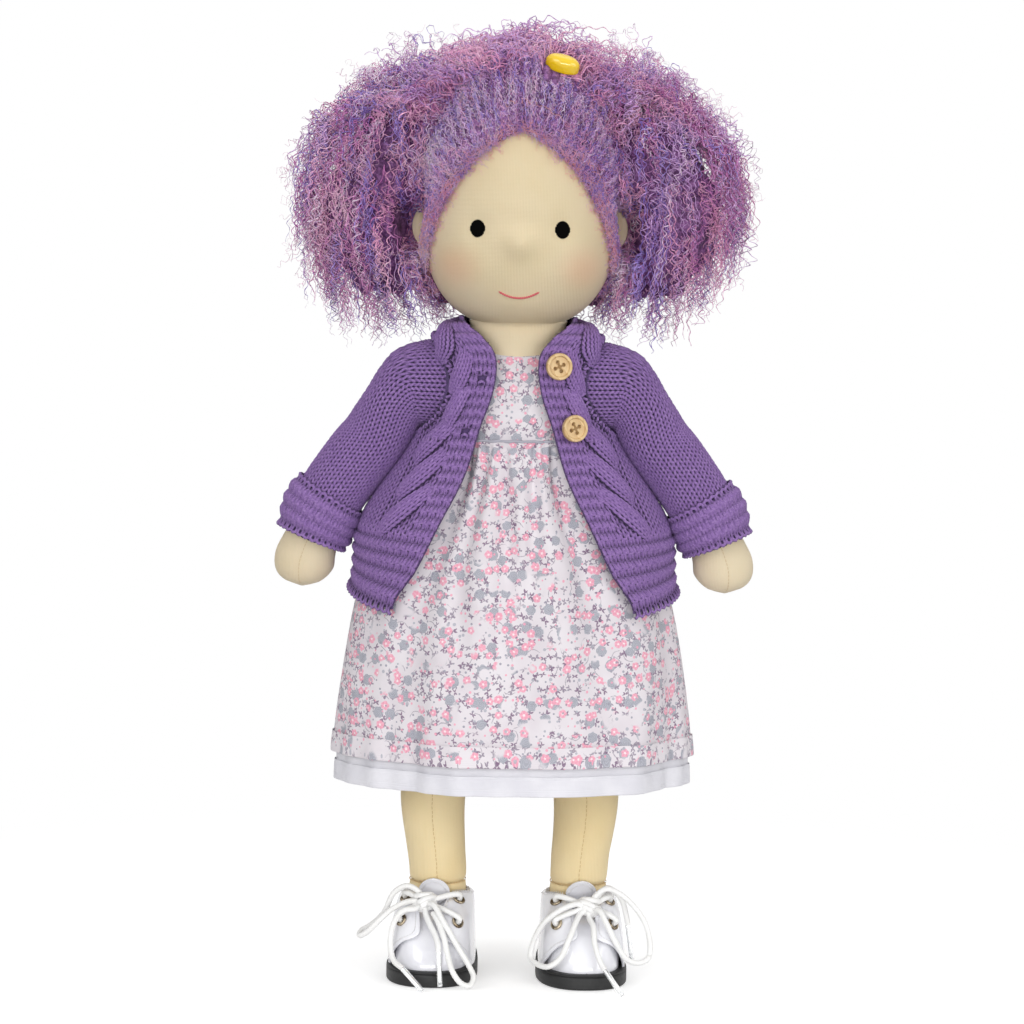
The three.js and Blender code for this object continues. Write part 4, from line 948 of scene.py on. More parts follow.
def patent_material():
    """Glossy white leather: a clear film over faint creases and pores."""
    net = Net("patent_leather")
    at = net.place()
    height = net.noise(85, 3, 0.55, at) + net.noise(1300, 2, 0.5, at) * 0.05
    tint = net.blend(net.step(net.noise(35, 3, at=at), 0.3, 0.7), srgb(224, 224, 231), srgb(238, 238, 243))
    return net.finish(tint, 0.22, net.bump(height, 0.0006, 0.3), Coat_Weight=1.0, Coat_Roughness=0.035,
                      Coat_IOR=1.55)


def metal_material():
    net = Net("antique_brass")
    patch = net.step(net.noise(420, 3), 0.35, 0.7)
    return net.finish(net.blend(patch, srgb(96, 82, 66), srgb(190, 176, 152)), patch * 0.15 + 0.22,
                      net.bump(net.noise(800, 2), 0.0001, 0.3), Metallic=1.0)


def wood_material():
    """Pale turned wood: growth rings that show as fine streaks, with darker pores."""
    net = Net("pale_wood")
    at = net.place()
    wave = {"Vector": at, "Scale": 95.0, "Distortion": 3.5, "Detail": 3.0, "Detail Scale": 1.6}
    grain = net.add("TexWave", wave, 1, wave_type="BANDS", bands_direction="DIAGONAL", wave_profile="SAW")
    pores = net.noise(900, 2, at=net.vector("MULTIPLY", at, (1.0, 1.0, 0.12)))
    tint = net.blend(grain, srgb(228, 197, 146), srgb(206, 169, 116))
    tint = net.blend(net.step(pores, 0.56, 0.72) * 0.4, tint, srgb(164, 124, 78))
    return net.finish(tint, 0.45, net.bump(pores, 0.0001, 0.3), Coat_Weight=0.2, Coat_Roughness=0.3)


def make_outsole(side, way):
    """The rubber sole with its heel: flat under the ball and the heel, arched between them, grooved round its side."""
    angle = turns(240)
    ball = mix(-SOLE_FRONT, SOLE_BACK, BALL_SHARE)
    breast = SOLE_BACK - HEEL_LONG
    rings = []
    for inset, narrow, place, lift in SOLE_RINGS:
        x, y = sole_edge(angle, inset)
        arch = np.clip((y - ball) / (breast - ball), 0, 1)
        under = np.where(y < breast, 3.4 * arch ** 2, 0.0)
        rings.append(xyz(x * narrow, y, mix(under, sole_top(y), place) + lift))
    sole = closed_skin("sole_" + side, on_foot(np.array(rings), way), MATERIALS["rubber"])
    attach(sole, side + "_leg", "black_rubber", "outsole_" + side)


def leather(piece, side, way, angle, t, layer, node=None, thickness=1.15, material="patent"):
    """A sheet on the last: angle and t give its grid, layer how far out it lies."""
    grid = on_foot(shoe_point(angle, t, layer), way)
    sheet = shell(piece + "_" + side, grid, thickness, MATERIALS[material])
    attach(sheet, side + "_leg", "patent_leather", *([node + "_" + side] if node else []))


def collar_run(t, margin, s):
    """Angles from one facing edge round the heel to the other."""
    return mix(facing_angle(t) + margin, 2 * math.pi - facing_angle(t) - margin, s)


def make_shoe(side, way):
    make_outsole(side, way)
    t = np.linspace(0, 0.6, 70)[:, None]
    leather("vamp_leather", side, way, vamp_angle(t) * np.linspace(-1, 1, 130), t, -0.9, "vamp")
    t = np.linspace(0, 1, 80)[:, None]
    s = np.linspace(0, 1, 240)
    leather("quarter_leather", side, way, collar_run(t, 0, s), t, 1.62, "quarters")
    t = np.linspace(0.5, 0.985, 40)[:, None]
    leather("collar_lining", side, way, collar_run(t, 0.03, s), t, 0.72, None, 0.5, "lining")
    make_tongue(side, way)
    make_shoe_stitches(side, way)
    make_eyelets(side, way)
    make_foot(side, way)
    make_lacing(side, way)


TONGUE_HALF, TONGUE_TOP, TONGUE_LAYER = 0.5, 41.5, -0.9


def make_tongue(side, way):
    """The tongue lies under the facings and then stands free, with a round end that curls forward."""
    spread = np.linspace(-TONGUE_HALF, TONGUE_HALF, 60)
    rows = [shoe_point(spread, k, TONGUE_LAYER) for k in np.linspace(0.5, 1, 24)]
    for rise in np.linspace(0, 1, 40)[1:]:
        width = math.sqrt(max(0.0, 1 - max(0.0, (rise - 0.3) / 0.72) ** 2)) if rise < 0.999 else 0.22
        a = spread * width
        point = last_point(a, 1)
        high = mix(point[:, 2], TONGUE_TOP - 0.6 * (a / TONGUE_HALF) ** 2, rise)
        point = point + xyz(np.sin(a), -np.cos(a), 0) * (TONGUE_LAYER + 1.5 * rise ** 2)
        point[:, 2] = high
        rows.append(point)
    tongue = shell("tongue_leather_" + side, on_foot(np.array(rows), way), 1.1, MATERIALS["patent"])
    attach(tongue, side + "_leg", "patent_leather", "tongue_" + side)


STITCH_LAYER, STITCH_PITCH = 2.2, 1.35


def stitches_on(name, side, way, angle, t):
    line = on_foot(shoe_point(angle, t, STITCH_LAYER), way)
    out = on_foot(shoe_point(angle, t, STITCH_LAYER + 1), way) - line
    seam(side + "_leg", name + "_" + side, line, MATERIALS["shoe_thread"], 0.17, STITCH_PITCH, unit(out),
         "patent_leather")


def make_shoe_stitches(side, way):
    thread = MATERIALS["shoe_thread"]
    t = np.linspace(0.06, 0.93, 260)
    for sign, word in ((1, "a"), (-1, "b")):
        stitches_on("facing_stitch_" + word, side, way, sign * (facing_angle(t) + 0.085), t)
    stitches_on("collar_stitch", side, way, collar_run(t[-1], 0.09, np.linspace(0, 1, 260)), t[-1])
    # along the tongue's edge
    a = np.linspace(-1, 1, 90)
    line = last_point(a * 0.42, 1)
    rise = np.sqrt(1 - 0.86 * a ** 2) * 0.9
    out = xyz(np.sin(a * 0.42), -np.cos(a * 0.42), 0)
    high = mix(line[:, 2], TONGUE_TOP, rise)
    line = line + out * (-0.3 + 1.5 * rise ** 2)[:, None]
    line[:, 2] = high
    seam(side + "_leg", "tongue_stitch_" + side, on_foot(line, way), thread, 0.15, 1.3,
         on_foot(out, way) - on_foot(0 * out, way), "patent_leather")
    # over the collar's edge
    angle = collar_run(1.0, 0.05, np.linspace(0, 1, 74))
    outer = shoe_point(angle, 0.965, 2.25)
    inner = shoe_point(angle + 0.012, 0.995, 0.85)
    top = (outer + inner) / 2
    top[:, 2] = np.maximum(outer[:, 2], inner[:, 2]) + 0.62
    paths = np.stack([outer, mix(outer, top, 0.7), top, mix(inner, top, 0.6), inner], 1)
    whip = tube_object("collar_whip_" + side, on_foot(paths, way), 0.16, 6, thread)
    attach(whip, side + "_leg", "patent_leather")


def frame_at(normal):
    side = unit(np.cross(normal, np.array([0.1, 0.05, 1.0])))
    return side, np.cross(side, normal)


def lathe(name, seat, normal, profile, sides, material):
    """A turned ring or disc: profile rows of (radius, height) about an axis through its seat."""
    a, b = frame_at(normal)
    turn = turns(sides)[:, None]
    spoke = a * np.cos(turn) + b * np.sin(turn)
    profile = np.asarray(profile, float)[:, :, None, None]
    rings = seat + spoke * profile[:, 0] + normal * profile[:, 1]
    return add_mesh(name, rings.reshape(-1, 3), grid_faces(len(profile), sides, True), material)


def eyelet_seat(sign, angle, t, way, layer=STITCH_LAYER):
    """Where an eyelet sits on the quarter, and the way out of it."""
    seat = on_foot(shoe_point(sign * angle, t, layer), way)
    return seat, unit(on_foot(shoe_point(sign * angle, t, layer + 1), way) - seat)


def make_eyelets(side, way):
    turn = np.linspace(0, 2 * math.pi, 15)[:-1]
    rim = xyz(EYELET_PIPE + 0.66 * np.cos(turn), EYELET_PIPE_HEIGHT + 0.6 * np.sin(turn), 0)[:, :2]
    rim = np.vstack([rim, rim[:1]])
    for row, place in zip(("lower", "upper"), EYELETS):
        for word, sign in (("outer", 1), ("inner", -1)):
            seat, up = eyelet_seat(sign, *place, way)
            label = "_".join((row, word, side))
            eyelet = lathe("ring_" + label, seat, up, rim, 40, MATERIALS["metal"])
            rework(eyelet.data, lambda work: weld(work, 0.001))
            # a dark cup in each eyelet's hole: painted shade inside the hole
            bore = lathe("bore_" + label, seat, up, EYELET_BORE, 32, MATERIALS["dark"])
            attach(eyelet, side + "_leg", "antique_brass", "eyelet_" + label)
            attach(bore, side + "_leg", "antique_brass")


FOOT_TOP = ((11.4, 12.5, 27.2), (12.0, 12.6, 30.5), (12.2, 12.4, 34), (12.3, 12.3, 36.6), (12.1, 12.1, 38.0),
            (11.4, 11.4, 38.7))


def make_foot(side, way):
    angle = turns(90)
    rows = [shoe_point(angle, k, -2.1) for k in np.linspace(0.06, 0.72, 14)]
    rows += [xyz(wide * np.sin(angle), -deep * np.cos(angle), z) for wide, deep, z in FOOT_TOP]
    foot = closed_skin("foot_jersey_" + side, on_foot(np.array(rows), way), MATERIALS["leg"])
    attach(foot, side + "_leg", "leg_jersey", "foot_" + side)
    turn = np.linspace(0, 2 * math.pi, 200)
    out = xyz(np.cos(turn), np.sin(turn), 0)
    line = out * 12.15 + xyz(way * ANKLE_SPREAD, 0, LEG_BOTTOM + 0.15 * np.sin(9 * turn))
    seam(side + "_leg", "ankle_seam_" + side, line, MATERIALS["leg_thread"], 0.2, 1.5, out, "leg_jersey")


KNOT_WRAPS = (
    [(-4.4, 1.6, 1.6), (-2.6, -1.5, 2.3), (0.2, -2.9, 1.5), (2.8, -1.9, -0.2), (4.3, 0.9, -1.0)],
    [(-4.2, 1.4, -0.6), (-2.3, -1.6, 0.1), (0.4, -2.8, -0.9), (2.6, -1.5, -2.3), (3.4, 1.2, -2.9)],
    [(-3.4, 0.8, -2.6), (-1.6, -1.3, -2.4), (0.4, -1.6, -3.0), (2.0, -0.2, -3.4), (2.4, 1.6, -3.2)],
    [(3.9, 0.4, 2.2), (2.1, -1.2, 2.9), (0.0, -1.3, 3.2), (-2.0, -0.4, 3.1), (-3.2, 1.4, 2.4)],
)


def make_lacing(side, way):
    """The lace's run from the four eyelets into the knot, and the knot's wraps."""
    knot = np.array(LACES[side]["knot"], float)
    parts = []
    for place in EYELETS:
        for sign in (1, -1):
            seat, up = eyelet_seat(sign, *place, way, 2.25)
            path = spline([seat - up * 0.7, seat + up * 1.2, mix(seat, knot, 0.06) + up * 2.9,
                           mix(seat, knot, 0.3) + up * 3.1, mix(seat, knot, 0.65) + up * 1.6, knot], 60)
            parts.append(braid("strand", path))
    for rows in KNOT_WRAPS:
        parts.append(braid("wrap", spline(knot + np.array(rows) * (way, 1, 1), 40), LACE / 2 * 1.02))
    polar = np.linspace(0.05, math.pi - 0.05, 18)[:, None]
    turn = turns(30)
    core = knot + xyz(3.6 * np.sin(polar) * np.cos(turn), 0.4 + 2.0 * np.sin(polar) * np.sin(turn),
                      2.6 * np.cos(polar))
    parts.append(closed_skin("core", core, MATERIALS["lace"]))
    attach(join_meshes("bow_knot_" + side, parts), side + "_leg", "lace_cotton", "lacing_" + side)


# ---- dress and petticoat

SKIRT_LENGTH = 134
HEM_HALF = (77.5, 58)
waist_wide, waist_deep = (float(v) for v in torso_size(WAIST))
SKIRT_TOP = (waist_wide + 3.0, waist_deep + 3.0)
PETTICOAT_BELOW = 12
BODICE_TOP, BODICE_ARMHOLE = 267.6, 13.2
HIP_SPLIT = 22
# from this height down, over this length along the lean, in metres: the stretch from which each skirt piece's start
# and end are worked out
SKIRT_BEND_TOP, SKIRT_BEND, SKIRT_LEAN = 0.195, 0.185, (0, -0.35, -0.94)
PLEATS = ((-0.62, 4.6, 0.13), (-0.33, 3.4, 0.08), (-0.09, 4.6, 0.08), (0.14, 3.8, 0.07), (0.5, 5.0, 0.12),
          (0.74, 1.6, 0.12), (1.15, 1.8, 0.1), (1.6, 1.6, 0.12), (2.1, 2.0, 0.1), (2.6, 1.8, 0.12),
          (-1.0, 1.8, 0.1), (-1.5, 1.6, 0.12), (-2.0, 1.9, 0.1), (-2.55, 1.8, 0.11), (-3.0, 1.5, 0.1))


def skirt_folds(angle, share):
    """Stand-off of the skirt from its plain cone: the broad folds, the pleats and the fine gathers."""
    broad = 2.2 * np.minimum(share, 1) ** 2 * (0.6 * np.cos(7 * angle + 0.5) + 0.4 * np.cos(11 * angle + 1.7))
    turn = wrapped(angle + math.pi / 2)
    grow = smooth(0.0, 0.12, share) * (1 - 0.5 * smooth(0.4, 0.95, share))
    pleats = 0.0
    for place, depth, width in PLEATS:
        swing = place + 0.05 * np.sin(5 * share + 9 * place)
        spread = width * (0.75 + 0.9 * share)
        pleats = pleats - depth * grow * bell(wrapped(turn - swing) / spread)
    fine = 0.55 * np.cos(44 * angle + 2.5 * np.sin(5 * angle)) + \
        0.35 * np.cos(67 * angle + 3 * np.sin(3 * angle + 1))
    fade = np.exp(-share / 0.085) * smooth(0.0, 0.02, share)
    middle = 0.5 * np.cos(23 * angle + 2 * np.sin(4 * angle)) * smooth(0, 0.08, share) * np.exp(-share / 0.22)
    low = smooth(0.55, 1, share)
    ripple = 0.5 * np.cos(26 * angle + 2.4 * np.sin(3 * angle) + 3 * share) * low ** 2
    return broad + pleats + (fine - 0.4) * fade * 1.2 + middle - 0.4 * fade + ripple - 0.45 * low


def wrapped(angle):
    """An angle brought into the range from -pi to pi."""
    return (angle + math.pi) % (2 * math.pi) - math.pi


def skirt_surface(angle, share, inset):
    wide = mix(SKIRT_TOP[0], HEM_HALF[0], flare(share))
    deep = mix(SKIRT_TOP[1], HEM_HALF[1], flare(share))
    out = skirt_folds(angle, share) - inset
    return xyz((wide + out) * np.cos(angle), (deep + out) * np.sin(angle), WAIST - 0.3 - share * SKIRT_LENGTH)


def hem_turned(p, run, fold, radius=0.55):
    """A grid with rows added below, its edge curled inwards and laid up inside, and how long each new row lies."""
    n = grid_normals(p, False)[-1]
    down = unit(p[-1] - p[-2])
    rows, lengths = [], []
    for a in np.linspace(0, math.pi, 7)[1:]:
        rows.append(p[-1] + down * (radius * math.sin(a)) - n * (radius * (1 - math.cos(a))))
        lengths.append(radius * a)
    for k in np.linspace(0, 1, 7)[1:]:
        back = int(min(len(p) - 1, 1 + round(k * fold / run)))
        rows.append(p[-1 - back] - n * 2 * radius * (1 - 0.3 * k))
        lengths.append(radius * math.pi + k * fold)
    return np.concatenate([p, np.array(rows)]), np.array(lengths)


def cloth_uv(p, v):
    """UVs in millimetres: along each row from its middle column, and v for the rows."""
    step = np.linalg.norm(np.diff(p, axis=1), axis=2)
    u = np.concatenate([np.zeros((len(p), 1)), np.cumsum(step, axis=1)], 1)
    middle = p.shape[1] // 2
    return np.stack(np.broadcast_arrays(u - u[:, middle:middle + 1], v[:, None]), -1)


def skirt_grid(inset, share_end, fold):
    """The skirt's cloth with its turned hem, its UVs and its length."""
    columns, rows = 620, 130
    angle = (np.linspace(-math.pi, math.pi, columns + 1) - math.pi / 2)[None, :]
    ease = np.linspace(0, 1, rows)
    share = (share_end * mix(ease, ease ** 1.5, 0.35))[:, None]
    plain = skirt_surface(angle, share, inset)
    p, extra = hem_turned(plain, np.linalg.norm(plain[-1, 0] - plain[-2, 0]), fold)
    down = run_along(plain[:, columns // 2])
    return p, cloth_uv(p, -np.concatenate([down, down[-1] + extra])), down[-1]


def cut_away(work, point, normal):
    geometry = work.verts[:] + work.edges[:] + work.faces[:]
    bmesh.ops.bisect_plane(work, geom=geometry, dist=1e-7, plane_co=point, plane_no=normal, clear_outer=True)


def skirt_pieces(word, node, cloth, material, fold):
    """The cloth in four parts: each half's side, and its middle towards the other half."""
    p, uv, length = cloth
    length = length + fold
    whole = add_mesh(word, p.reshape(-1, 3), grid_faces(*p.shape[:2], False), material)
    set_uv(whole, uv.reshape(-1, 2))
    kept = whole.data.attributes.new("rest_normal", "FLOAT_VECTOR", "POINT")
    kept.data.foreach_set("vector", grid_normals(p, False).astype(np.float32).ravel())
    lean = np.array(SKIRT_LEAN)
    lean = lean / np.linalg.norm(lean)
    first = float(lean @ np.array([0, 0, SKIRT_BEND_TOP]))
    for side, way in SIDES:
        for part, beyond in (("side", -way), ("middle", way)):
            mesh = whole.data.copy()

            def halve(work):
                cut_away(work, (0, 0, 0), (-way, 0, 0))
                cut_away(work, (way * HIP_SPLIT * MM, 0, 0), (beyond, 0, 0))

            rework(mesh, halve)
            obj = link("_".join((word, part, side)), mesh)
            normal = np.zeros(len(mesh.vertices) * 3, np.float32)
            mesh.attributes["rest_normal"].data.foreach_get("vector", normal)
            mesh.normals_split_custom_set_from_vertices(unit(normal.reshape(-1, 3)).tolist())
            mesh.attributes.remove(mesh.attributes["rest_normal"])
            if part == "side":
                start, end = lean * first, lean * (first + SKIRT_BEND)
            else:
                g = lean / SKIRT_BEND + np.array([way / (HIP_SPLIT * MM), 0, 0])
                c = first / SKIRT_BEND + 1
                start = g * c / (g @ g)
                end = start + g / (g @ g)
            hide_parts(node)
            round(cloth_area(obj) / (length * MM), 4)
            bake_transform(obj)
    bpy.data.objects.remove(whole)


def woven(net, at, pace):
    """The threads of a plain weave, so many radians a millimetre."""
    across, along, _ = net.split(at)
    return net.math("SINE", across * pace) + net.math("SINE", along * pace)


def white_cotton_material():
    net = Net("white_cotton")
    at = net.cloth()
    height = woven(net, at, 14.0) * 0.08 + net.noise(0.16, 3, at=at) * 1.2
    tint = net.blend(net.step(net.noise(0.08, 3, at=at), 0.3, 0.7), srgb(222, 221, 228), srgb(232, 231, 237))
    return net.finish(tint, 0.85, net.bump(height, 0.0006, 0.35), Sheen_Weight=0.08)


def scattered(net, at, scale, seed):
    """One motif's place per cell: x and y from its middle, turned at random, its distance and two random numbers."""
    shifted = net.vector("ADD", net.vector("MULTIPLY", at, (1 / scale, 1 / scale, 0.0)), (seed, seed * 1.7, 0.0))
    cell = net.outputs("TexVoronoi", {"Vector": shifted, "Scale": 1.0, "Randomness": 0.82},
                       voronoi_dimensions="2D", feature="F1")
    local = net.vector("SUBTRACT", shifted, cell[2])
    spin, gate, pick = net.outputs("SeparateColor", {0: cell[1]})
    turned = net.add("VectorRotate", {"Vector": local, "Angle": spin * 6.283}, rotation_type="Z_AXIS")
    x, y, _ = net.split(turned)
    return x, y, net.length(local), gate, pick


def print_material():
    """A small scattered flower print: grey roses, pink flowers, plum sprigs and dots on near-white cotton."""
    net = Net("printed_cotton")
    at = net.cloth()
    weave = woven(net, at, 15.0)
    wobble = net.vector("SUBTRACT", net.noise(0.9, 2, at=at, out=1), (0.5, 0.5, 0.5))
    drawn = net.vector("ADD", at, net.vector("MULTIPLY", wobble, (0.9, 0.9, 0.0)))
    tint = net.blend(net.step(net.noise(0.06, 2, at=at), 0.3, 0.7), srgb(225, 217, 223), srgb(233, 227, 232))
    # drifts that gather the print into clusters
    drift = net.noise(0.085, 1.0, at=net.vector("ADD", at, (31.0, 7.0, 0.0)))
    clustered = net.step(drift, 0.36, 0.44)
    # sprigs: pairs of small leaves
    for seed, scale in ((3.1, 4.0), (8.7, 4.9)):
        x, y, far, gate, pick = scattered(net, drawn, scale, seed)
        off_line = abs(abs(y) - abs(x) * 0.55)
        leaf = off_line < net.math("SINE", net.math("MINIMUM", far * 2.6, 1.0) * 3.1416) * 0.085
        share = leaf * (far < 0.39) * ((gate < 0.72) * clustered)
        shade = net.blend(pick > 0.45, srgb(122, 92, 124), srgb(146, 134, 152))
        tint = net.blend(share * 0.9, tint, shade)
    # stems: short bows
    x, y, far, _, _ = scattered(net, drawn, 7.5, 14.2)
    share = (abs(y - x * x * 1.3) < 0.024) * (far < 0.4)
    tint = net.blend(share * clustered * 0.75, tint, srgb(150, 140, 156))
    # grey roses, and pink flowers with a pale heart
    for seed, scale, low, rose in ((1.7, 7.6, 0.36, True), (5.9, 6.2, 0.44, False), (11.3, 6.8, 0.34, False)):
        x, y, far, gate, pick = scattered(net, drawn, scale, seed)
        angle = net.math("ARCTAN2", y, x)
        lobes, size, common = (3.0, 0.245, 0.6) if rose else (2.5, 0.2, 0.42)
        scallop = abs(net.math("COSINE", angle * lobes)) * 0.045
        share = (far < pick * 0.05 + size + scallop) * ((gate < common) * net.step(drift, low, low + 0.06))
        if rose:
            swirl = net.math("SINE", far * 62.0 + angle * 2.0)
            tone = net.blend(swirl > 0.45, srgb(158, 160, 172), srgb(182, 184, 195))
        else:
            petal = net.blend(net.math("SINE", angle * 5.0) > 0.2, srgb(240, 156, 180), srgb(244, 176, 196))
            tone = net.blend(far < 0.075, petal, srgb(255, 232, 236))
        tint = net.blend(share * 0.92, tint, tone)
    # dots
    for seed, scale, shade in ((21.0, 3.6, (240, 160, 184)), (27.0, 3.3, (150, 148, 164)),
                               (33.0, 4.4, (176, 176, 188))):
        _, _, far, gate, pick = scattered(net, at, scale, seed)
        share = (far < pick * 0.07 + 0.1) * (gate < 0.36)
        tint = net.blend(share * 0.85, tint, srgb(*shade))
    threads = net.blend(net.step(weave, -1.0, 1.0), srgb(205, 200, 206), srgb(255, 255, 255))
    height = weave * 0.07 + net.noise(0.14, 3, at=at) * 1.1
    return net.finish(net.blend(0.05, tint, threads), 0.82, net.bump(height, 0.0006, 0.35), Sheen_Weight=0.08)


def make_dress():
    fold = 7
    skirt_pieces("skirt_print", "dress_skirt", skirt_grid(0.6, 1.0, fold), MATERIALS["print"],
                 fold)
    skirt_pieces("petticoat_cloth", "petticoat",
                 skirt_grid(2.1, 1 + PETTICOAT_BELOW / SKIRT_LENGTH, fold), MATERIALS["white"], fold)
    make_bodice()
    # the gathered seam at the waist
    turn = np.linspace(0, 2 * math.pi, 900)
    out = 0.28 * np.cos(44 * turn + 2.5 * np.sin(5 * turn)) - 0.9
    line = xyz((SKIRT_TOP[0] + out) * np.cos(turn), (SKIRT_TOP[1] + out) * np.sin(turn),
               WAIST + 0.1 + 0.12 * np.sin(31 * turn))
    piping = tube_object("waist_seam", line[None], 0.62, 8, MATERIALS["print"])
    attach(piping, "torso", "printed_cotton")


def make_bodice():
    """The dress's top, gathered a little over the waist, with its neck edge turned in and its armholes open."""
    columns = 361
    turn = np.linspace(-math.pi, math.pi, columns)
    angle = turn - math.pi / 2
    z = np.linspace(WAIST + 0.2, BODICE_TOP, 90)[:, None]
    wide, deep = torso_size(z)
    above = z - WAIST
    gathers = 0.25 * np.exp(-above / 5) * np.cos(40 * angle + 2 * np.sin(6 * angle))
    ripple = 0.35 * np.sin(3 * angle + z / 9) * smooth(WAIST, WAIST + 10, z) * (1 - smooth(258, 266, z))
    layer = 1.2 - 0.5 * np.exp(-above / 1.2) + gathers + ripple
    dip = 1.6 * bell(turn / 0.5) * smooth(255, BODICE_TOP, z)
    p = xyz((wide + layer) * np.cos(angle), (deep + layer) * np.sin(angle), z - dip)
    up, extra = hem_turned(p, 0.4, 4, 0.45)
    bodice = add_mesh("bodice_print", up.reshape(-1, 3), grid_faces(len(up), columns, False), MATERIALS["print"])
    # the print's place on the cloth starts 400 mm along, away from the skirt's
    v = np.concatenate([p[:, columns // 2, 2], 268 + extra]) + 400
    set_uv(bodice, cloth_uv(up, v).reshape(-1, 2))

    def open_armholes(work):
        bmesh.ops.remove_doubles(work, verts=work.verts, dist=0.002 * MM)
        middles = [(f, f.calc_center_median() / MM) for f in work.faces]
        gone = [f for f, m in middles if math.hypot(m.y, m.z - SHOULDER) < BODICE_ARMHOLE and abs(m.x) > 20]
        bmesh.ops.delete(work, geom=gone, context="FACES")
        face_out(work)

    rework(bodice.data, open_armholes)
    attach(bodice, "torso", "printed_cotton", "dress_bodice")


# ---- knitting

KNIT = 3.0
FABRIC = 1.5
CARDIGAN_LENGTH = 113
HEM_HEIGHT = COLLAR_HEIGHT - CARDIGAN_LENGTH
HEM_DROP = 9
NECK_HALF = (23.7, 21.4)
OPENING = 52
SIDE_ANGLE = 0.3 / (2 * HEM_HALF[1])
ARMHOLE = 20.4
STITCH, ROW, HEM_ROW, YARN = 3.7, 2.2, 2.62, 0.72
BAND = 3 * STITCH
LOBE_WIDE, LOBE_ROWS, LOBE_PITCH = 2.95, 11, 14.2
yoke_width = curve_through([(0, 1), (0.3, 0.99), (0.55, 0.94), (0.75, 0.76), (0.9, 0.42), (1, 0)])
front_opening = curve_through([(0, OPENING), (0.14, 0.81 * OPENING), (0.3, 0.62 * OPENING),
                               (0.46, 0.43 * OPENING), (0.63, 16), (0.76, 10.5), (0.88, 10), (0.95, 17),
                               (1, 0.93 * 26.7)])
knit_swell = curve_through([(163, 0), (172, 0.5), (180, 4), (190, 9.4), (203, 10.8), (216, 9), (228, 6.2),
                            (242, 1.6), (252, 0)])


def cardigan_inside(z):
    z = np.asarray(z, float)
    wide, deep = torso_size(np.minimum(z, SHOULDER))
    wide, deep = wide + 3.5, deep + 3.5
    yoke = yoke_width(np.clip((z - SHOULDER) / (COLLAR_HEIGHT - SHOULDER), 0, 1))
    rest = np.maximum(0, (WAIST - z) / SKIRT_LENGTH)
    sides = []
    for side, neck, top, hem in zip((wide, deep), NECK_HALF, SKIRT_TOP, HEM_HALF):
        low = mix(top, hem, flare(rest)) + 2.2 * rest ** 2 + 1.2
        lower = np.where(z < WAIST, np.maximum(side, low), side)
        sides.append(np.where(z >= SHOULDER, mix(neck, side, yoke), lower))
    return sides[0] + knit_swell(z), sides[1]


def opening_at(z):
    """Half the front opening's width at a height."""
    return front_opening((z - HEM_HEIGHT + HEM_DROP) / (CARDIGAN_LENGTH + HEM_DROP))


def front_surface(s, k, layer):
    """s runs from the front edge to the side, k from the hem to the neck."""
    along = 1 - s
    z = mix(HEM_HEIGHT, COLLAR_HEIGHT, k)
    low = (COLLAR_HEIGHT - z) / CARDIGAN_LENGTH
    z = z - HEM_DROP * along * np.maximum(low, 0) ** 4
    wide, deep = cardigan_inside(z)
    edge = np.arccos(np.minimum(0.97, opening_at(z) / (wide + KNIT)))
    angle = mix(SIDE_ANGLE, edge, along)
    return xyz((wide + layer) * np.cos(angle), -(deep + layer) * np.sin(angle), z)


def back_surface(s, k, layer):
    z = mix(HEM_HEIGHT, COLLAR_HEIGHT, k)
    wide, deep = cardigan_inside(z)
    angle = mix(math.pi / 2, SIDE_ANGLE, s)
    return xyz((wide + layer) * np.cos(angle), (deep + layer) * np.sin(angle), z)


class Panel:
    """A knitted panel laid out by its distance from one edge and its row."""

    PER_ROW = 4
    GRAIN = 0.5

    def __init__(self, surface, layer):
        self.lines = (len(ROWS) - 1) * self.PER_ROW + 1
        k = np.interp(np.arange(self.lines) / self.PER_ROW, np.arange(len(ROWS)), ROWS)[:, None]
        p = surface(np.linspace(0, 1, 200), k, layer)
        runs = np.stack([run_along(line) for line in p])
        self.length = runs[:, -1]
        reach = np.arange(0, self.length.max() + 8, self.GRAIN)
        over = np.maximum(reach - self.length[:, None], 0)[..., None]
        self.table = np.stack([looked_up(reach, run, line) for run, line in zip(runs, p)])
        self.table += over * unit(p[:, -1] - p[:, -2])[:, None]

    def at(self, d, v):
        d, lines = np.asarray(d, float), np.asarray(v, float) * self.PER_ROW
        i = np.clip(lines, 0, self.lines - 1.0001)
        j = np.clip(d / self.GRAIN, 0, self.table.shape[1] - 1.0001)
        i0, j0 = i.astype(int), j.astype(int)
        a, b = (i - i0)[..., None], (j - j0)[..., None]
        t = self.table
        p = mix(mix(t[i0, j0], t[i0, j0 + 1], b), mix(t[i0 + 1, j0], t[i0 + 1, j0 + 1], b), a)
        p = p + np.minimum(d, 0)[..., None] * unit(t[i0, 1] - t[i0, 0])
        return p + (lines - i)[..., None] * (t[i0 + 1, j0] - t[i0, j0])

    def long_at(self, v):
        return float(np.interp(v * self.PER_ROW, np.arange(self.lines), self.length))


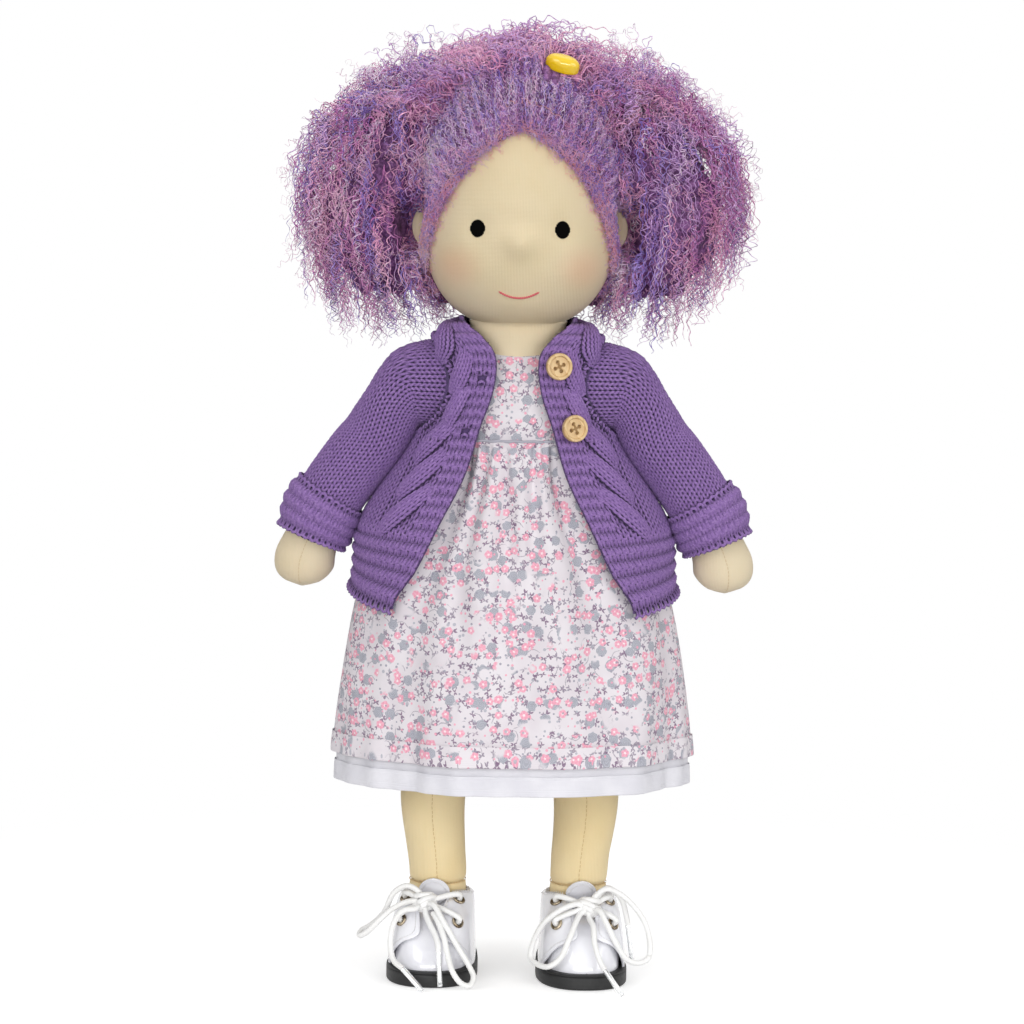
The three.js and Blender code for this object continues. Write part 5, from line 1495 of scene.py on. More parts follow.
def yarn_row(at, row, first, last, garter, lift, wide=STITCH, bend=0.5, lean=0.25, out=1):
    """One knitted row of loops over a surface, with its normals and the heights that set its painted shade; garter
    tells where every other row is purl, bend how far a loop's feet and head lie apart in depth, and lean how far its
    legs slant."""
    samples, high = 10, 0.95
    count = last - first
    t = np.linspace(0, 2 * math.pi * count, samples * count + 1)
    place = first + t / (2 * math.pi)
    v = row + 0.5 - high * np.cos(t)
    ribbed = garter(np.clip(np.floor(place - 1e-6), first, last - 1), row)
    d = (place + lean * np.sin(2 * t)) * wide
    e = 0.3
    n = out * unit(np.cross(at(d + e, v) - at(d - e, v), at(d, v + e) - at(d, v - e)))
    raised = lift(d, v)
    depth = -bend * np.cos(2 * t) * np.where(ribbed & (row % 2 == 0), -1.0, 1.0)
    # heights for the painted shade deep in the fabric: the loops' depth, a little of the lift, and garter rows raised
    # so that they take less shade
    height = depth * np.where(ribbed, 0.6, 1) + 0.12 * raised + 0.3 * ribbed
    return at(d, v) + n * (depth + raised)[:, None], n, height


def knitted(name, rows, way, radius=YARN):
    """A mesh of yarn from rows of (path, normal, height); its UVs tell how high each point stands in the fabric, which
    sets its painted shade.
    """
    sides = 5
    verts, faces, caps, heights, start = [], [], [], [], 0
    flip = np.array([way, 1, 1])
    for path, normal, height in rows:
        steps = np.arange(len(path))
        thin = radius * (1 + 0.05 * np.sin(steps * 1.7 + path[0, 2]))
        v, f, c = tubes((path * flip)[None], thin[None], sides, (normal * flip)[None])
        verts.append(v)
        faces.append(f + start)
        caps.append(c + start)
        start += len(v)
        proud = height[:, None] + radius * np.sin(turns(sides))
        heights.append(np.stack([proud.ravel(), np.repeat(steps * 0.1, sides)], 1))
    obj = add_mesh(name, np.vstack(verts), [np.vstack(faces), np.vstack(caps)], MATERIALS["wool"])
    set_uv(obj, np.vstack(heights))
    return obj


def wool_material(name, dark, base, light, backing=False):
    """Soft plied wool: fibres of a few close purples, twisted along the yarn, with painted shade deep in the fabric,
    and the backing painted darker as shade.
    """
    net = Net(name)
    at = net.place()
    fibre = net.noise(2600, 3, 0.65, at)
    ply = net.noise(900, 2, 0.5, at)
    dark = srgb(*dark)
    tint = net.ramp(fibre * 0.6 + ply * 0.4, [(0.25, dark), (0.5, srgb(*base)), (0.75, srgb(*light))])
    # the backing is painted darker all over: painted shade under the stitches
    if backing:
        tint = net.blend(0.45, tint, darker(dark, 0.3))
    else:
        # painted shade: the deeper a point of the yarn lies in the fabric, as its UVs tell, the darker it is
        tint = net.blend(net.step(net.split(net.cloth())[0], 0.18, 1.05), darker(dark, 0.2), tint)
    return net.finish(tint, 0.95, net.bump(fibre * 0.7 + ply * 0.6, 0.0004, 0.8), Sheen_Weight=0.2,
                      Sheen_Roughness=0.45, Sheen_Tint=srgb(205, 190, 235))


def knit_backing(name, grid, node, body, wrap=False, thickness=0.7, roll=1):
    """The fabric's inside, under its yarn."""
    # the backing is in a darker copy of the wool: painted shade under the stitches and inside the sleeves, cuffs and
    # collar
    cloth = shell(name, grid, thickness, MATERIALS["wool_back_shaded"], wrap, roll=roll)
    attach(cloth, body, "purple_wool", node)
    area = cloth_area(cloth) / 2


def in_armhole(p):
    return np.hypot(p[..., 1], p[..., 2] - SHOULDER) < ARMHOLE + 1.2


def row_table():
    """Heights of the knitted rows as shares of the cardigan's length: the ribs of the hem, then the rest."""
    hem = np.arange(11) * HEM_ROW
    left = CARDIGAN_LENGTH - hem[-1]
    count = int(left / ROW)
    return np.concatenate([hem, hem[-1] + np.arange(1, count + 1) * (left / count)]) / CARDIGAN_LENGTH


def knit_height(v):
    """Millimetres above the hem at a row."""
    return np.interp(v, np.arange(len(ROWS)), ROWS) * CARDIGAN_LENGTH


def knit_row(height):
    return np.interp(height / CARDIGAN_LENGTH, ROWS, np.arange(len(ROWS)))


def no_lift(d, v):
    return 0 * d


def all_knit(column, row):
    return column < 0


def all_garter(column, row):
    return column >= 0


def front_lift(d, v):
    z = knit_height(v)
    rib = np.cos(math.pi * v)
    ridge = 0.4 * rib * (1 - smooth(24, 28, z))
    band = 0.32 * rib * (1 - smooth(BAND - 2, BAND, d))
    collar = 0.3 * rib * smooth(103, 106, z)
    under_cable = smooth(BAND, BAND + 3, d) * (1 - smooth(27, 31, d)) * smooth(26, 30, z) * (1 - smooth(98, 103, z))
    return ridge + np.where(z > 26, band, 0) + collar - 0.7 * under_cable


def cable_lobes(panel):
    """The cable beside the band: slanted lobes of three stitches, each rising out of the fabric and back into it."""
    rows = []
    half = 1.5 * LOBE_WIDE
    for i in range(6):
        low = 24.5 + LOBE_PITCH * i
        middle = float(knit_row(low + 12))
        room = panel.long_at(middle)
        step = np.arange(0, room, 0.5)
        hole = in_armhole(panel.at(step, np.full(len(step), middle)))
        if hole.any():
            room = float(step[np.argmax(hole)])
        outer = min(27.5, room - 3.5)

        def at(dd, vv):
            s = vv / LOBE_ROWS
            swell = np.sin(np.clip(s, 0, 1) * math.pi)
            a = (dd - half) * (0.7 + 0.3 * swell)
            height = low + 18.5 * s + a * 0.62 - 1.2 * swell
            return panel.at(mix(outer, BAND + 1.0, s) + a * 0.785, knit_row(height))

        def lift(dd, vv):
            s = np.clip(vv / LOBE_ROWS, 0, 1)
            return -0.7 + 3.1 * np.sin(s * math.pi) ** 0.75 * (1 - 0.42 * ((dd - half) / half) ** 2)

        rows += [yarn_row(at, r, 0, 3, all_knit, lift, wide=LOBE_WIDE, lean=0.22) for r in range(LOBE_ROWS)]
    return rows


def front_garter(column, row):
    return (row < 10) | (column < 3) | (row > len(ROWS) - 5)


def plain_lift(d, v):
    z = knit_height(v)
    return np.cos(math.pi * v) * (0.4 * (1 - smooth(24, 28, z)) + 0.3 * smooth(101, 104, z))


def back_garter(column, row):
    return (row < 10) | (row > len(ROWS) - 6) | (column < 0)


def panel_rows(panel, garter, lift, skip=None, out=1):
    """All rows of a panel as far as the armhole; skip may split a row into runs."""
    rows = []
    for r in range(len(ROWS) - 1):
        v = r + 0.5
        count = int((panel.long_at(v) - 0.2) // STITCH)
        centres = (np.arange(count) + 0.5) * STITCH
        hole = in_armhole(panel.at(centres, np.full(count, v)))
        if hole.any():
            count = int(np.argmax(hole))
        for first, last in skip(r, count) if skip else [(0, count)]:
            if last > first:
                rows.append(yarn_row(panel.at, r, first, last, garter, lift, out=out))
    return rows


def buttonhole(r, count):
    """Two short gaps in the band, where the buttons of the other front go through."""
    if any(hole <= r <= hole + 1 for hole in BUTTONHOLE_ROWS):
        return [(0, 1), (2, count)]
    return [(0, count)]


def on_side(y, z, layer):
    """The cardigan's side at a depth and a height, a layer further out."""
    wide, deep = cardigan_inside(z)
    return (wide + layer) * np.sqrt(np.clip(1 - (y / (deep + layer)) ** 2, 0.0, 1))


def armhole_edge():
    """The seam's loops round the armhole, over the edges of the front and the back."""
    columns = 36

    def at(d, v):
        angle = d / (columns * STITCH) * 2 * math.pi
        radius = ARMHOLE + 0.5 + 1.2 * v
        y, z = radius * np.cos(angle), SHOULDER + radius * np.sin(angle)
        return xyz(on_side(y, z, FABRIC), y, z)

    return yarn_row(at, 0, 0, columns, all_knit, lambda d, v: 0.2 + 0 * d, out=-1)


def make_cardigan():
    k = np.linspace(0.004, 0.996, 110)[:, None]
    for side, way in SIDES:
        panel = Panel(front_surface, FABRIC)
        rows = panel_rows(panel, front_garter, front_lift, buttonhole if side == "right" else None)
        rows += cable_lobes(panel)
        rows.append(armhole_edge())
        stitches = attach(knitted("knit_front_" + side, rows, way), "torso", "purple_wool")
        grid = pull_from_armhole(front_surface(np.linspace(0.004, 1, 90), k, FABRIC / 2))
        knit_backing("front_lining_" + side, grid * (way, 1, 1), "cardigan_front_" + side, "torso")
    for side, way in SIDES:
        rows = panel_rows(Panel(back_surface, FABRIC), back_garter, plain_lift, out=-1)
        attach(knitted("knit_back_" + side, rows, way), "torso", "purple_wool")
    s = np.linspace(-1, 1, 131)
    grid = pull_from_armhole(back_surface(np.abs(s), np.linspace(0.004, 0.996, 80)[:, None], FABRIC / 2))
    grid[..., 0] *= np.sign(s + 1e-12)
    knit_backing("back_lining", grid, "cardigan_back", "torso")


def pull_from_armhole(grid):
    """Points inside the armhole slide to its rim."""
    y, z = grid[..., 1], grid[..., 2] - SHOULDER
    far = np.maximum(np.hypot(y, z), 1e-6)
    inside = far < ARMHOLE
    grow = np.where(inside, ARMHOLE / far, 1.0)
    y, z = y * grow, SHOULDER + z * grow
    return xyz(np.where(inside, on_side(y, z, FABRIC / 2), grid[..., 0]), y, z)


def sleeve_point(turn, run, layer):
    """A point of the sleeve by its turn round the arm and its distance along it, from inside the armhole down."""
    turn, run = np.broadcast_arrays(turn, run)
    centre, across, along = arm_frame(np.maximum(run, 0) / ARM_LENGTH, 1)
    centre = centre + along * np.minimum(run, 0)[..., None]
    row = np.clip(run / SLEEVE_LONG, 0, 1)
    outer = np.maximum(0, -np.cos(turn)) ** 1.4
    under = np.maximum(0, np.cos(turn)) ** 1.4
    radius = mix(mix(sleeve_radius(row), sleeve_outer(row), outer), sleeve_under(row), under) + layer
    radius = radius + 0.9 * (1 - smooth(-6, 10, run))
    radius = radius + 0.35 * np.sin(run / 6.5) * np.sin(turn * 2 + 1) * smooth(5, 30, run)
    p = centre + across * (radius * np.cos(turn))[..., None]
    p[..., 1] += radius * np.sin(turn)
    return p


# ---- sleeves and cuffs

SLEEVE_END = 0.79
SLEEVE_LONG = ARM_LENGTH * SLEEVE_END
SLEEVE_STITCHES = 31
CUFF_STITCHES, CUFF_ROW, CUFF_LONG = 33, 2.55, 18.5
cuff_swell = curve_through([(0, 0.2), (0.16, 1.0), (0.5, 1.25), (0.84, 1.0), (1, 0.2)])
sleeve_radius = curve_through([(0, 18.6), (0.12, 18.6), (0.24, 17.9), (0.36, 17.2), (0.52, 17.0), (0.7, 16.6),
                               (1, 15.4)])
sleeve_outer = curve_through([(0, 19.2), (0.05, 19.4), (0.09, 18.6), (0.13, 16.2), (0.16, 14.2), (0.24, 12.6),
                              (0.29, 13.4), (0.34, 14.8), (0.45, 16.8), (0.62, 16.9), (0.8, 17.2),
                              (0.9, 16.8),
                              (1, 14.8)])
sleeve_under = curve_through([(0, 18.6), (0.2, 18.2), (0.36, 15.8), (0.5, 13.6), (0.8, 13.4), (1, 13.6)])
SLEEVE_LEAD = 9.5


def make_sleeve(side, way):
    arm = side + "_arm"
    flip = (way, 1, 1)
    wrist = SLEEVE_LONG + 1.0

    def place(d, v):
        return sleeve_point(-d / STITCH / SLEEVE_STITCHES * 2 * math.pi, wrist - v * ROW, -1.55)

    count = int((wrist + SLEEVE_LEAD) / ROW)
    rows = [yarn_row(place, r, 0, SLEEVE_STITCHES, all_knit, no_lift) for r in range(count)]
    stitches = attach(knitted("knit_sleeve_" + side, rows, way), arm, "purple_wool")
    turn = np.linspace(0, 2 * math.pi, 73)[:-1]
    grid = sleeve_point(turn, np.linspace(-SLEEVE_LEAD, SLEEVE_LONG, 70)[:, None], -2.5)
    knit_backing("sleeve_lining_" + side, grid * flip, "sleeve_" + side, arm,
                 True, 0.6)

    def on_cuff(d, v, layer=0.3):
        turn = -d / STITCH / CUFF_STITCHES * 2 * math.pi
        run = SLEEVE_LONG + 0.6 - v * CUFF_ROW
        swell = cuff_swell(np.clip((SLEEVE_LONG - run) / CUFF_LONG, 0, 1))
        _, across, _ = arm_frame(np.maximum(run, 0) / ARM_LENGTH, 1)
        out = unit(across * np.cos(turn)[..., None] + xyz(0, np.sin(turn), 0))
        return sleeve_point(turn, run, 0) + out * (layer + 1.1 * swell)[..., None]

    ridge = lambda d, v: 0.2 * np.cos(math.pi * v)
    rows = [yarn_row(on_cuff, r, 0, CUFF_STITCHES, all_garter, ridge, bend=0.45) for r in range(7)]
    stitches = attach(knitted("knit_cuff_" + side, rows, way, 0.84), arm, "purple_wool")
    d, v = np.broadcast_arrays(-turn / (2 * math.pi) * STITCH * CUFF_STITCHES, np.linspace(0.2, 6.8, 24)[:, None])
    knit_backing("cuff_lining_" + side, on_cuff(d, v, -0.55) * flip, "cuff_" + side, arm,
                 True, 0.9, 2)


def cloth_area(obj):
    areas = np.zeros(len(obj.data.polygons))
    obj.data.polygons.foreach_get("area", areas)
    return float(areas.sum())


# ---- buttons and clip

BUTTON_RADIUS, BUTTON_THICK, BUTTON_DISH, BUTTON_INSET = 5.75, 2.8, 0.8, 7.6
HOLE_AT, HOLE_TURN = 2.05, math.pi / 4 + 0.25


def make_button(word, height, lift):
    """A wooden button with a rim and four holes, sewn on with a cross of thread."""
    x = float(opening_at(height)) + BUTTON_INSET

    def on_knit(across, z):
        w, d = cardigan_inside(z)
        return np.array([across, -(d + KNIT) * math.sqrt(1 - (across / (w + KNIT)) ** 2), z])

    reach = BUTTON_RADIUS
    facing = unit(np.cross(on_knit(x + reach, height) - on_knit(x - reach, height),
                           on_knit(x, height + reach) - on_knit(x, height - reach)))
    seat = on_knit(x, height) + facing * lift
    axes = np.array([*frame_at(facing), facing])
    share = np.concatenate([np.linspace(0, 0.80, 60), np.linspace(0.81, 1.0, 26)])[1:, None]
    turn = turns(150)
    rim = smooth(0.7, 0.8, share) * (1 - 0.28 * smooth(0.9, 1.0, share) ** 2)
    top = BUTTON_THICK - BUTTON_DISH * (1 - rim) - 0.55 * smooth(0.955, 1.0, share) + 0 * turn
    across, up = share * BUTTON_RADIUS * np.cos(turn), share * BUTTON_RADIUS * np.sin(turn)
    holes = [HOLE_TURN + k * math.pi / 2 for k in range(4)]
    for a in holes:
        far = np.hypot(across - HOLE_AT * math.cos(a), up - HOLE_AT * math.sin(a))
        top = top - 1.7 * (1 - smooth(0.62, 0.86, far))
    edge = np.array([(0.995, 0.75), (1.0, 0.5), (0.985, 0.25), (0.93, 0.06), (0.86, 0.0), (0.5, 0.0), (0.01, 0.0)])
    wide = edge[:, :1] * BUTTON_RADIUS
    low = xyz(wide * np.cos(turn), wide * np.sin(turn), edge[:, 1:] * BUTTON_THICK)
    rings = seat + np.concatenate([xyz(across, up, top), low]) @ axes
    button = closed_skin("wood_button_" + word, rings, MATERIALS["wood"],
                         first=seat + facing * (BUTTON_THICK - BUTTON_DISH), last=seat)
    attach(button, "torso", "pale_wood", "button_" + word)
    s = np.linspace(0, 1, 20)
    paths = []
    for k, a in enumerate(holes[:2]):
        high = BUTTON_THICK - BUTTON_DISH + 0.22 + 0.12 * k - 1.3 * bell(np.minimum(s, 1 - s) / 0.05)
        for shift in (-0.224, 0.224):
            along = HOLE_AT * (1 - 2 * s)
            paths.append(seat + xyz(along * math.cos(a) + shift * math.sin(a),
                                    along * math.sin(a) - shift * math.cos(a), high) @ axes)
    thread = tube_object("button_thread_" + word, np.array(paths), 0.2, 8, MATERIALS["button_thread"])
    attach(thread, "torso", "pale_wood")


ROWS = row_table()
BUTTONHOLE_ROWS = tuple(int(np.searchsorted(ROWS * CARDIGAN_LENGTH + HEM_HEIGHT, z)) - 1 for z in (234.0, 257.0))


# ---- hair

HEAD_MIDDLE = np.array([0, -HEAD_FORWARD, HEAD_WIDEST])
GATHER = np.array([41.0, 10.0, 371.0])


def cap_radius(d, layer, crown):
    """How far the cap's surface lies from the middle of the head along unit directions."""
    low = np.full(d.shape[:-1], 15.0)
    high = np.full(d.shape[:-1], 110.0)
    jaw, top = HEAD_WIDEST - HEAD_BOTTOM, HEAD_BOTTOM + HEAD_HEIGHT - HEAD_WIDEST
    for _ in range(26):
        r = (low + high) / 2
        p = d * r[..., None]
        below = p[..., 2] < 0
        reach = np.where(below, jaw * 1.07 + layer, top + crown)
        power = np.where(below, 2.3, 2.05)
        rise = np.clip(np.abs(p[..., 2]) / reach, 0, 1)
        share = (1 - rise ** power) ** (1 / power)
        inside = np.hypot(p[..., 0] / (HEAD_HALF[0] + layer), p[..., 1] / (HEAD_HALF[1] + layer)) < share
        low, high = np.where(inside, r, low), np.where(inside, high, r)
    return low


def hairline(count):
    """The face's outline from the right ear over the forehead to the left ear, as x and z."""
    t = np.linspace(0, 1, 60)[:, None]
    foot, top = 289.6, 361.6
    a, b, c = np.array([39, 311.2]), np.array([30.4, 348.6]), np.array([0, top])
    left = (1 - t) ** 2 * a + 2 * t * (1 - t) * b + t ** 2 * c
    side = np.stack([np.full(12, 39.0), np.linspace(foot + 3, 310, 12)], 1)
    half = np.vstack([side, left])
    whole = np.vstack([half * (-1, 1), (half[:-1])[::-1]])
    run = run_along(whole)
    return looked_up(np.linspace(0, run[-1], count), run, whole)


HAIRLINE = hairline(400)


def on_head(x, z, layer):
    """A point of the head's front at x and z, or at its side where the head is narrower than x."""
    share = head_share(z)
    wide = (HEAD_HALF[0] + layer) * share
    across = np.clip(x / wide, -1, 1)
    y = -HEAD_FORWARD - (HEAD_HALF[1] + layer) * share * np.sqrt(1 - across ** 2)
    return xyz(np.clip(x, -wide, wide), y, z)


def evenly(paths, count):
    """Each of the paths resampled to count points at even spacing, and how long it is."""
    runs = [run_along(path) for path in paths]
    out = [looked_up(np.linspace(0, run[-1], count), run, path) for run, path in zip(runs, paths)]
    return np.array(out), np.array([run[-1] for run in runs])


def beside(paths):
    """Two unit directions across each path, square to each other."""
    side = unit(np.cross(unit(np.gradient(paths, axis=1)), np.array([0.35, 0.8, 0.2])))
    return side, np.cross(side, unit(np.gradient(paths, axis=1)))


def any_phase(rng, count, reach=6.28):
    return rng.random((count, 1)) * reach


def wound(across, size, phi, crimp, rng):
    """Offsets of crinkled ringlets from their middle lines."""
    side, up = across
    crinkle = crimp * size * np.sin(2.7 * phi + any_phase(rng, len(size)))
    return side * (size * np.cos(phi))[..., None] + up * (size * np.sin(phi) + crinkle)[..., None]


def curled(paths, lengths, amplitude, wave, rng):
    """Paths wound into loose ringlets, each with its own phase, reach and irregular pitch."""
    s, n = paths.shape[:2]
    share = np.linspace(0, 1, n)
    rounds = (lengths / wave)[:, None] * share
    phase = any_phase(rng, s, 2 * math.pi)
    drift = 0.9 * np.sin(share * rng.uniform(6, 16, (s, 1)) + any_phase(rng, s))
    phi = 2 * math.pi * rounds * rng.choice([-1, 1], (s, 1)) + phase + drift
    size = amplitude[:, None] * (0.7 + 0.4 * np.sin(share * rng.uniform(8, 22, (s, 1)) + any_phase(rng, s)))
    return paths + wound(beside(paths), size * smooth(0, 0.08, share), phi, 0.32, rng)


def bezier(p0, p1, p2, p3, count=40):
    t = np.linspace(0, 1, count)[None, :, None]
    p0, p1, p2, p3 = (np.asarray(p)[:, None] for p in (p0, p1, p2, p3))
    return (1 - t) ** 3 * p0 + 3 * t * (1 - t) ** 2 * p1 + 3 * t * t * (1 - t) * p2 + t ** 3 * p3


def outside_cap(p, layer, crown):
    """Points pushed out to at least the cap's surface."""
    d = p - HEAD_MIDDLE
    far = np.linalg.norm(d, axis=-1)
    near = far < 75
    goal = np.zeros_like(far)
    goal[near] = cap_radius(unit(d[near]), layer, crown)
    return HEAD_MIDDLE + unit(d) * np.maximum(far, goal)[..., None]


def bunch_point(polar, around, size):
    """A point of the left bunch by its angle from the top, its turn and its share of the full size."""
    depth = np.sin(polar) ** 0.85
    upper = polar < math.pi / 2
    lean = np.where(upper, 20.0, 2.0) * np.cos(polar)
    high = np.where(upper, 64.0, 67.0)
    return xyz(55 - lean + 44 * size * depth * np.cos(around), 12 + 37 * size * depth * np.sin(around),
               335 + high * size * np.cos(polar))


def clear_of_ear(p):
    """Points pushed behind the ear, which stays in sight."""
    near = np.exp(-((p[..., 2] - 320) / 13) ** 4 - ((np.abs(p[..., 0]) - 43) / 9) ** 4)
    return p + xyz(0, np.maximum(0, 9.0 - p[..., 1]) * near, 0)


def bunch_paths(count, rng, way, least=0.8, most=0.97):
    """Guides from the gather out over the top of the bunch and down to its surface."""
    polar = np.arccos(np.clip(rng.uniform(-1, 1, count), -1, 1))
    around = rng.uniform(0, 2 * math.pi, count)
    size = rng.uniform(least, most, count) + 0.05 * np.sin(5 * around + 3 * polar) * np.sin(4 * polar + 1)
    end = bunch_point(polar, around, size)
    start = GATHER + rng.normal(0, 1, (count, 3)) * (4.5, 7.0, 4.5)
    reach = end - start
    outward = unit(reach * (1, 1, 0) + (6.0, 0, 0))
    lift = rng.uniform(2, 13, count)
    long = np.linalg.norm(reach, axis=1)[:, None]
    c1 = start + outward * (0.42 * long) + xyz(0, 0, lift)
    c2 = end + (0, 0, 0.4) * long + outward * (0.1 * long)
    paths = wandering(bezier(start, c1, c2, end), rng)
    return clear_of_ear(outside_cap(paths, 7.0, 17.0)) * (way, 1, 1)


def wandering(paths, rng, most=3.6):
    """Paths that sway from side to side, so that neighbours cross."""
    count, points = paths.shape[:2]
    t = np.linspace(0, 1, points)[None, :, None]
    sway = 0.0
    for pace in (2.2, 4.6):
        turn = rng.uniform(pace, pace + 2.4, (count, 1, 3)) * math.pi * t + rng.random((count, 1, 3)) * 2 * math.pi
        sway = sway + rng.uniform(0.3, 1.0, (count, 1, 3)) * np.sin(turn) * most / pace * 1.6
    return paths + sway * np.sin(t * math.pi * 0.62)


def last_part(paths, keep, points):
    """The last stretch of each path, up to its own length, at even spacing, and how long it is."""
    samples = 160
    fine, lengths = evenly(paths, samples)
    first = np.maximum(0, 1 - keep / lengths)
    out = [looked_up(np.linspace(start, 1, points) * (samples - 1), np.arange(samples), path)
           for start, path in zip(first, fine)]
    return np.array(out), lengths * (1 - first)


def locks(name, guides, keep, rng, material, each=4, points=54, radius=(0.2, 0.38), amplitude=(0.8, 2.2),
          wave=(4.4, 8.0), spread=2.1):
    """Ringlets of several strands that curl together about one guide."""
    count = len(guides)
    paths, lengths = last_part(guides, keep, points)
    share = np.linspace(0, 1, points)
    across = beside(paths)
    rounds = (lengths / rng.uniform(*wave, count))[:, None] * share
    spin = rng.choice([-1, 1], (count, 1))
    phase = any_phase(rng, count, 2 * math.pi)
    drift = 0.8 * np.sin(share * rng.uniform(5, 14, (count, 1)) + any_phase(rng, count))
    reach = rng.uniform(*amplitude, count)[:, None]
    pulse = rng.uniform(6, 17, (count, 1)), any_phase(rng, count)
    reach = reach * (0.75 + 0.35 * np.sin(share * pulse[0] + pulse[1])) * smooth(0, 0.1, share)
    bundle, thick = [], []
    for _ in range(each):
        phi = 2 * math.pi * rounds * spin + phase + drift + rng.normal(0, 0.55, (count, 1))
        curl = wound(across, reach * rng.uniform(0.65, 1.25, (count, 1)), phi, 0.3, rng)
        away = rng.normal(0, spread, (count, 1, 3)) * smooth(0, 0.3, share)[:, None]
        splay = rng.normal(0, 1.3, (count, 1, 3)) * (share ** 4)[:, None]
        bundle.append(paths + curl + away + splay)
        taper = rng.uniform(*radius, count)[:, None] * (1 - 0.6 * share ** 3)
        thick.append(taper * (0.82 + 0.28 * np.sin(share * 70 + any_phase(rng, count, 6))))
    obj = tube_object(name, under_clip(np.concatenate(bundle)), np.concatenate(thick), 3, material)
    attach(obj, "head", "mohair")


def between_directions(da, db, angle, t):
    """Unit directions at shares t of the way from da round to db."""
    return unit((np.sin((1 - t) * angle) * da + np.sin(t * angle) * db) / np.sin(angle))


def cap_paths(starts, way, bulge, rng):
    """Guides over the cap from their starts to the gather on one side, with a raised start."""
    end = GATHER * (way, 1, 1) + rng.normal(0, 1, starts.shape) * (3.0, 6.0, 3.0)
    a, b = starts - HEAD_MIDDLE, end - HEAD_MIDDLE
    da, db = unit(a), unit(b)
    angle = np.arccos(np.clip((da * db).sum(-1), -0.9999, 0.9999))[:, None, None]
    t = np.linspace(0, 1, 40)
    d = between_directions(da[:, None], db[:, None], angle, t[:, None])
    radius = mix(np.linalg.norm(a, axis=1)[:, None], cap_radius(d, 5.5, 17.0), smooth(0, 0.16, t))
    radius = radius + bulge[:, None] * np.sin(np.clip(t / 0.42, 0, 1) * math.pi)
    radius = radius + rng.uniform(-0.5, 2.2, (len(starts), 1)) * smooth(0.1, 0.5, t)
    return HEAD_MIDDLE + d * radius[..., None]


CLIP_FACING = unit(np.array([0.2, -0.55, 1.0]))
CLIP_SEAT = np.array([16, -24, HEAD_WIDEST + (61.2 + 17) * math.sqrt(1 - (16 / 46.5) ** 2 - (21 / 48.5) ** 2)])


def under_clip(p):
    """Points pressed down below the clip where it lies on them."""
    off = p - CLIP_SEAT
    high = off @ CLIP_FACING
    flat = off - high[..., None] * CLIP_FACING
    ahead = flat @ unit(np.array([0, -1.0, -0.55]))
    far = np.hypot(flat[..., 0], ahead * np.where(ahead > 0, 0.42, 1.2))
    press = np.where(high < 14, np.maximum(0, high + 0.6), 0) * (1 - smooth(7.5, 10.5, far))
    return p - press[..., None] * CLIP_FACING


def strand_object(name, paths, radius, amplitude, wave, rng, material, points):
    paths, lengths = evenly(paths, points)
    p = under_clip(curled(paths, lengths, amplitude, wave, rng))
    share = np.linspace(0, 1, points)
    thick = radius[:, None] * (1 - 0.55 * share ** 2) * (0.86 + 0.22 * np.sin(share * 90 + any_phase(rng, len(p), 6)))
    attach(tube_object(name, p, thick, 3, material), "head", "mohair")


def mohair_material(name, dark, base, light, tip, broad=38, fine=420):
    """Brushed mohair yarn: fibres from deep plum to pale lilac, with a soft shine along them."""
    net = Net(name)
    at = net.place()
    share = net.noise(broad, 3, 0.6, at) * 0.5 + net.noise(fine, 3, 0.7, at) * 0.5
    tones = [(place, srgb(*tone)) for place, tone in zip((0.33, 0.46, 0.58, 0.7), (dark, base, light, tip))]
    return net.finish(net.ramp(share, tones), 0.62, net.bump(net.noise(1500, 2, 0.6, at), 0.0003, 0.6),
                      Sheen_Weight=0.12, Sheen_Roughness=0.4, Sheen_Tint=srgb(235, 205, 240))


def make_cap():
    """The wig's knitted base, open round the face and the ears."""
    rows, columns = 150, 220
    theta = np.linspace(0.02, math.pi - 0.42, rows)[:, None]
    turn = turns(columns)
    d = xyz(np.sin(theta) * np.cos(turn), np.sin(theta) * np.sin(turn), np.cos(theta))
    ribs = 0.8 * np.cos(46 * turn) * np.sin(theta)
    p = HEAD_MIDDLE + d * (cap_radius(d, 4.6, 15.5) + ribs)[..., None]
    x, z = p[..., 0], p[..., 2]
    brow = HAIRLINE[40:-40]
    arch = np.interp(np.clip(x, -38.9, 38.9), brow[:, 0], brow[:, 1], left=300, right=300)
    front = p[..., 1] < -HEAD_FORWARD - HEAD_HALF[1] * 0.34
    face = front & (np.abs(x) < 40.5) & (z < arch + 1.5)
    low = z < HEAD_BOTTOM + 7
    rim = on_head(HAIRLINE[::4, 0], HAIRLINE[::4, 1], 2.0)
    close = np.min(np.linalg.norm(p[..., None, :] - rim, axis=-1), axis=-1) < 13
    ear = (np.abs(z - 320) < 13) & (p[..., 1] < 9) & (np.abs(x) > 28)
    keep = ~(face | low | close | ear)
    # only the sheet that hangs together with the back of the head stays
    joined = np.zeros_like(keep)
    joined[rows // 2, columns // 4] = True
    for _ in range(rows + columns):
        near = joined | np.roll(joined, 1, 1) | np.roll(joined, -1, 1)
        near[1:] |= joined[:-1]
        near[:-1] |= joined[1:]
        joined = near & keep
    f = grid_faces(rows, columns, True)
    f = f[joined.ravel()[f].all(1)]
    # the cap shows between the locks in the darker mohair, partly painted shade
    cap = add_mesh("cap_base", p.reshape(-1, 3), f, MATERIALS["hair_deep"])

    def trim(work):
        bmesh.ops.delete(work, geom=[v for v in work.verts if not v.link_faces], context="VERTS")
        face_out(work)

    rework(cap.data, trim)
    cap.data.update()
    attach(cap, "head", "mohair", "wig_cap")


def along_hairline(along, column):
    """The hairline's x (column 0) or z (column 1) at a share of its length."""
    last = len(HAIRLINE) - 1
    return np.interp(np.clip(along, 0, 1) * last, np.arange(last + 1), HAIRLINE[:, column])


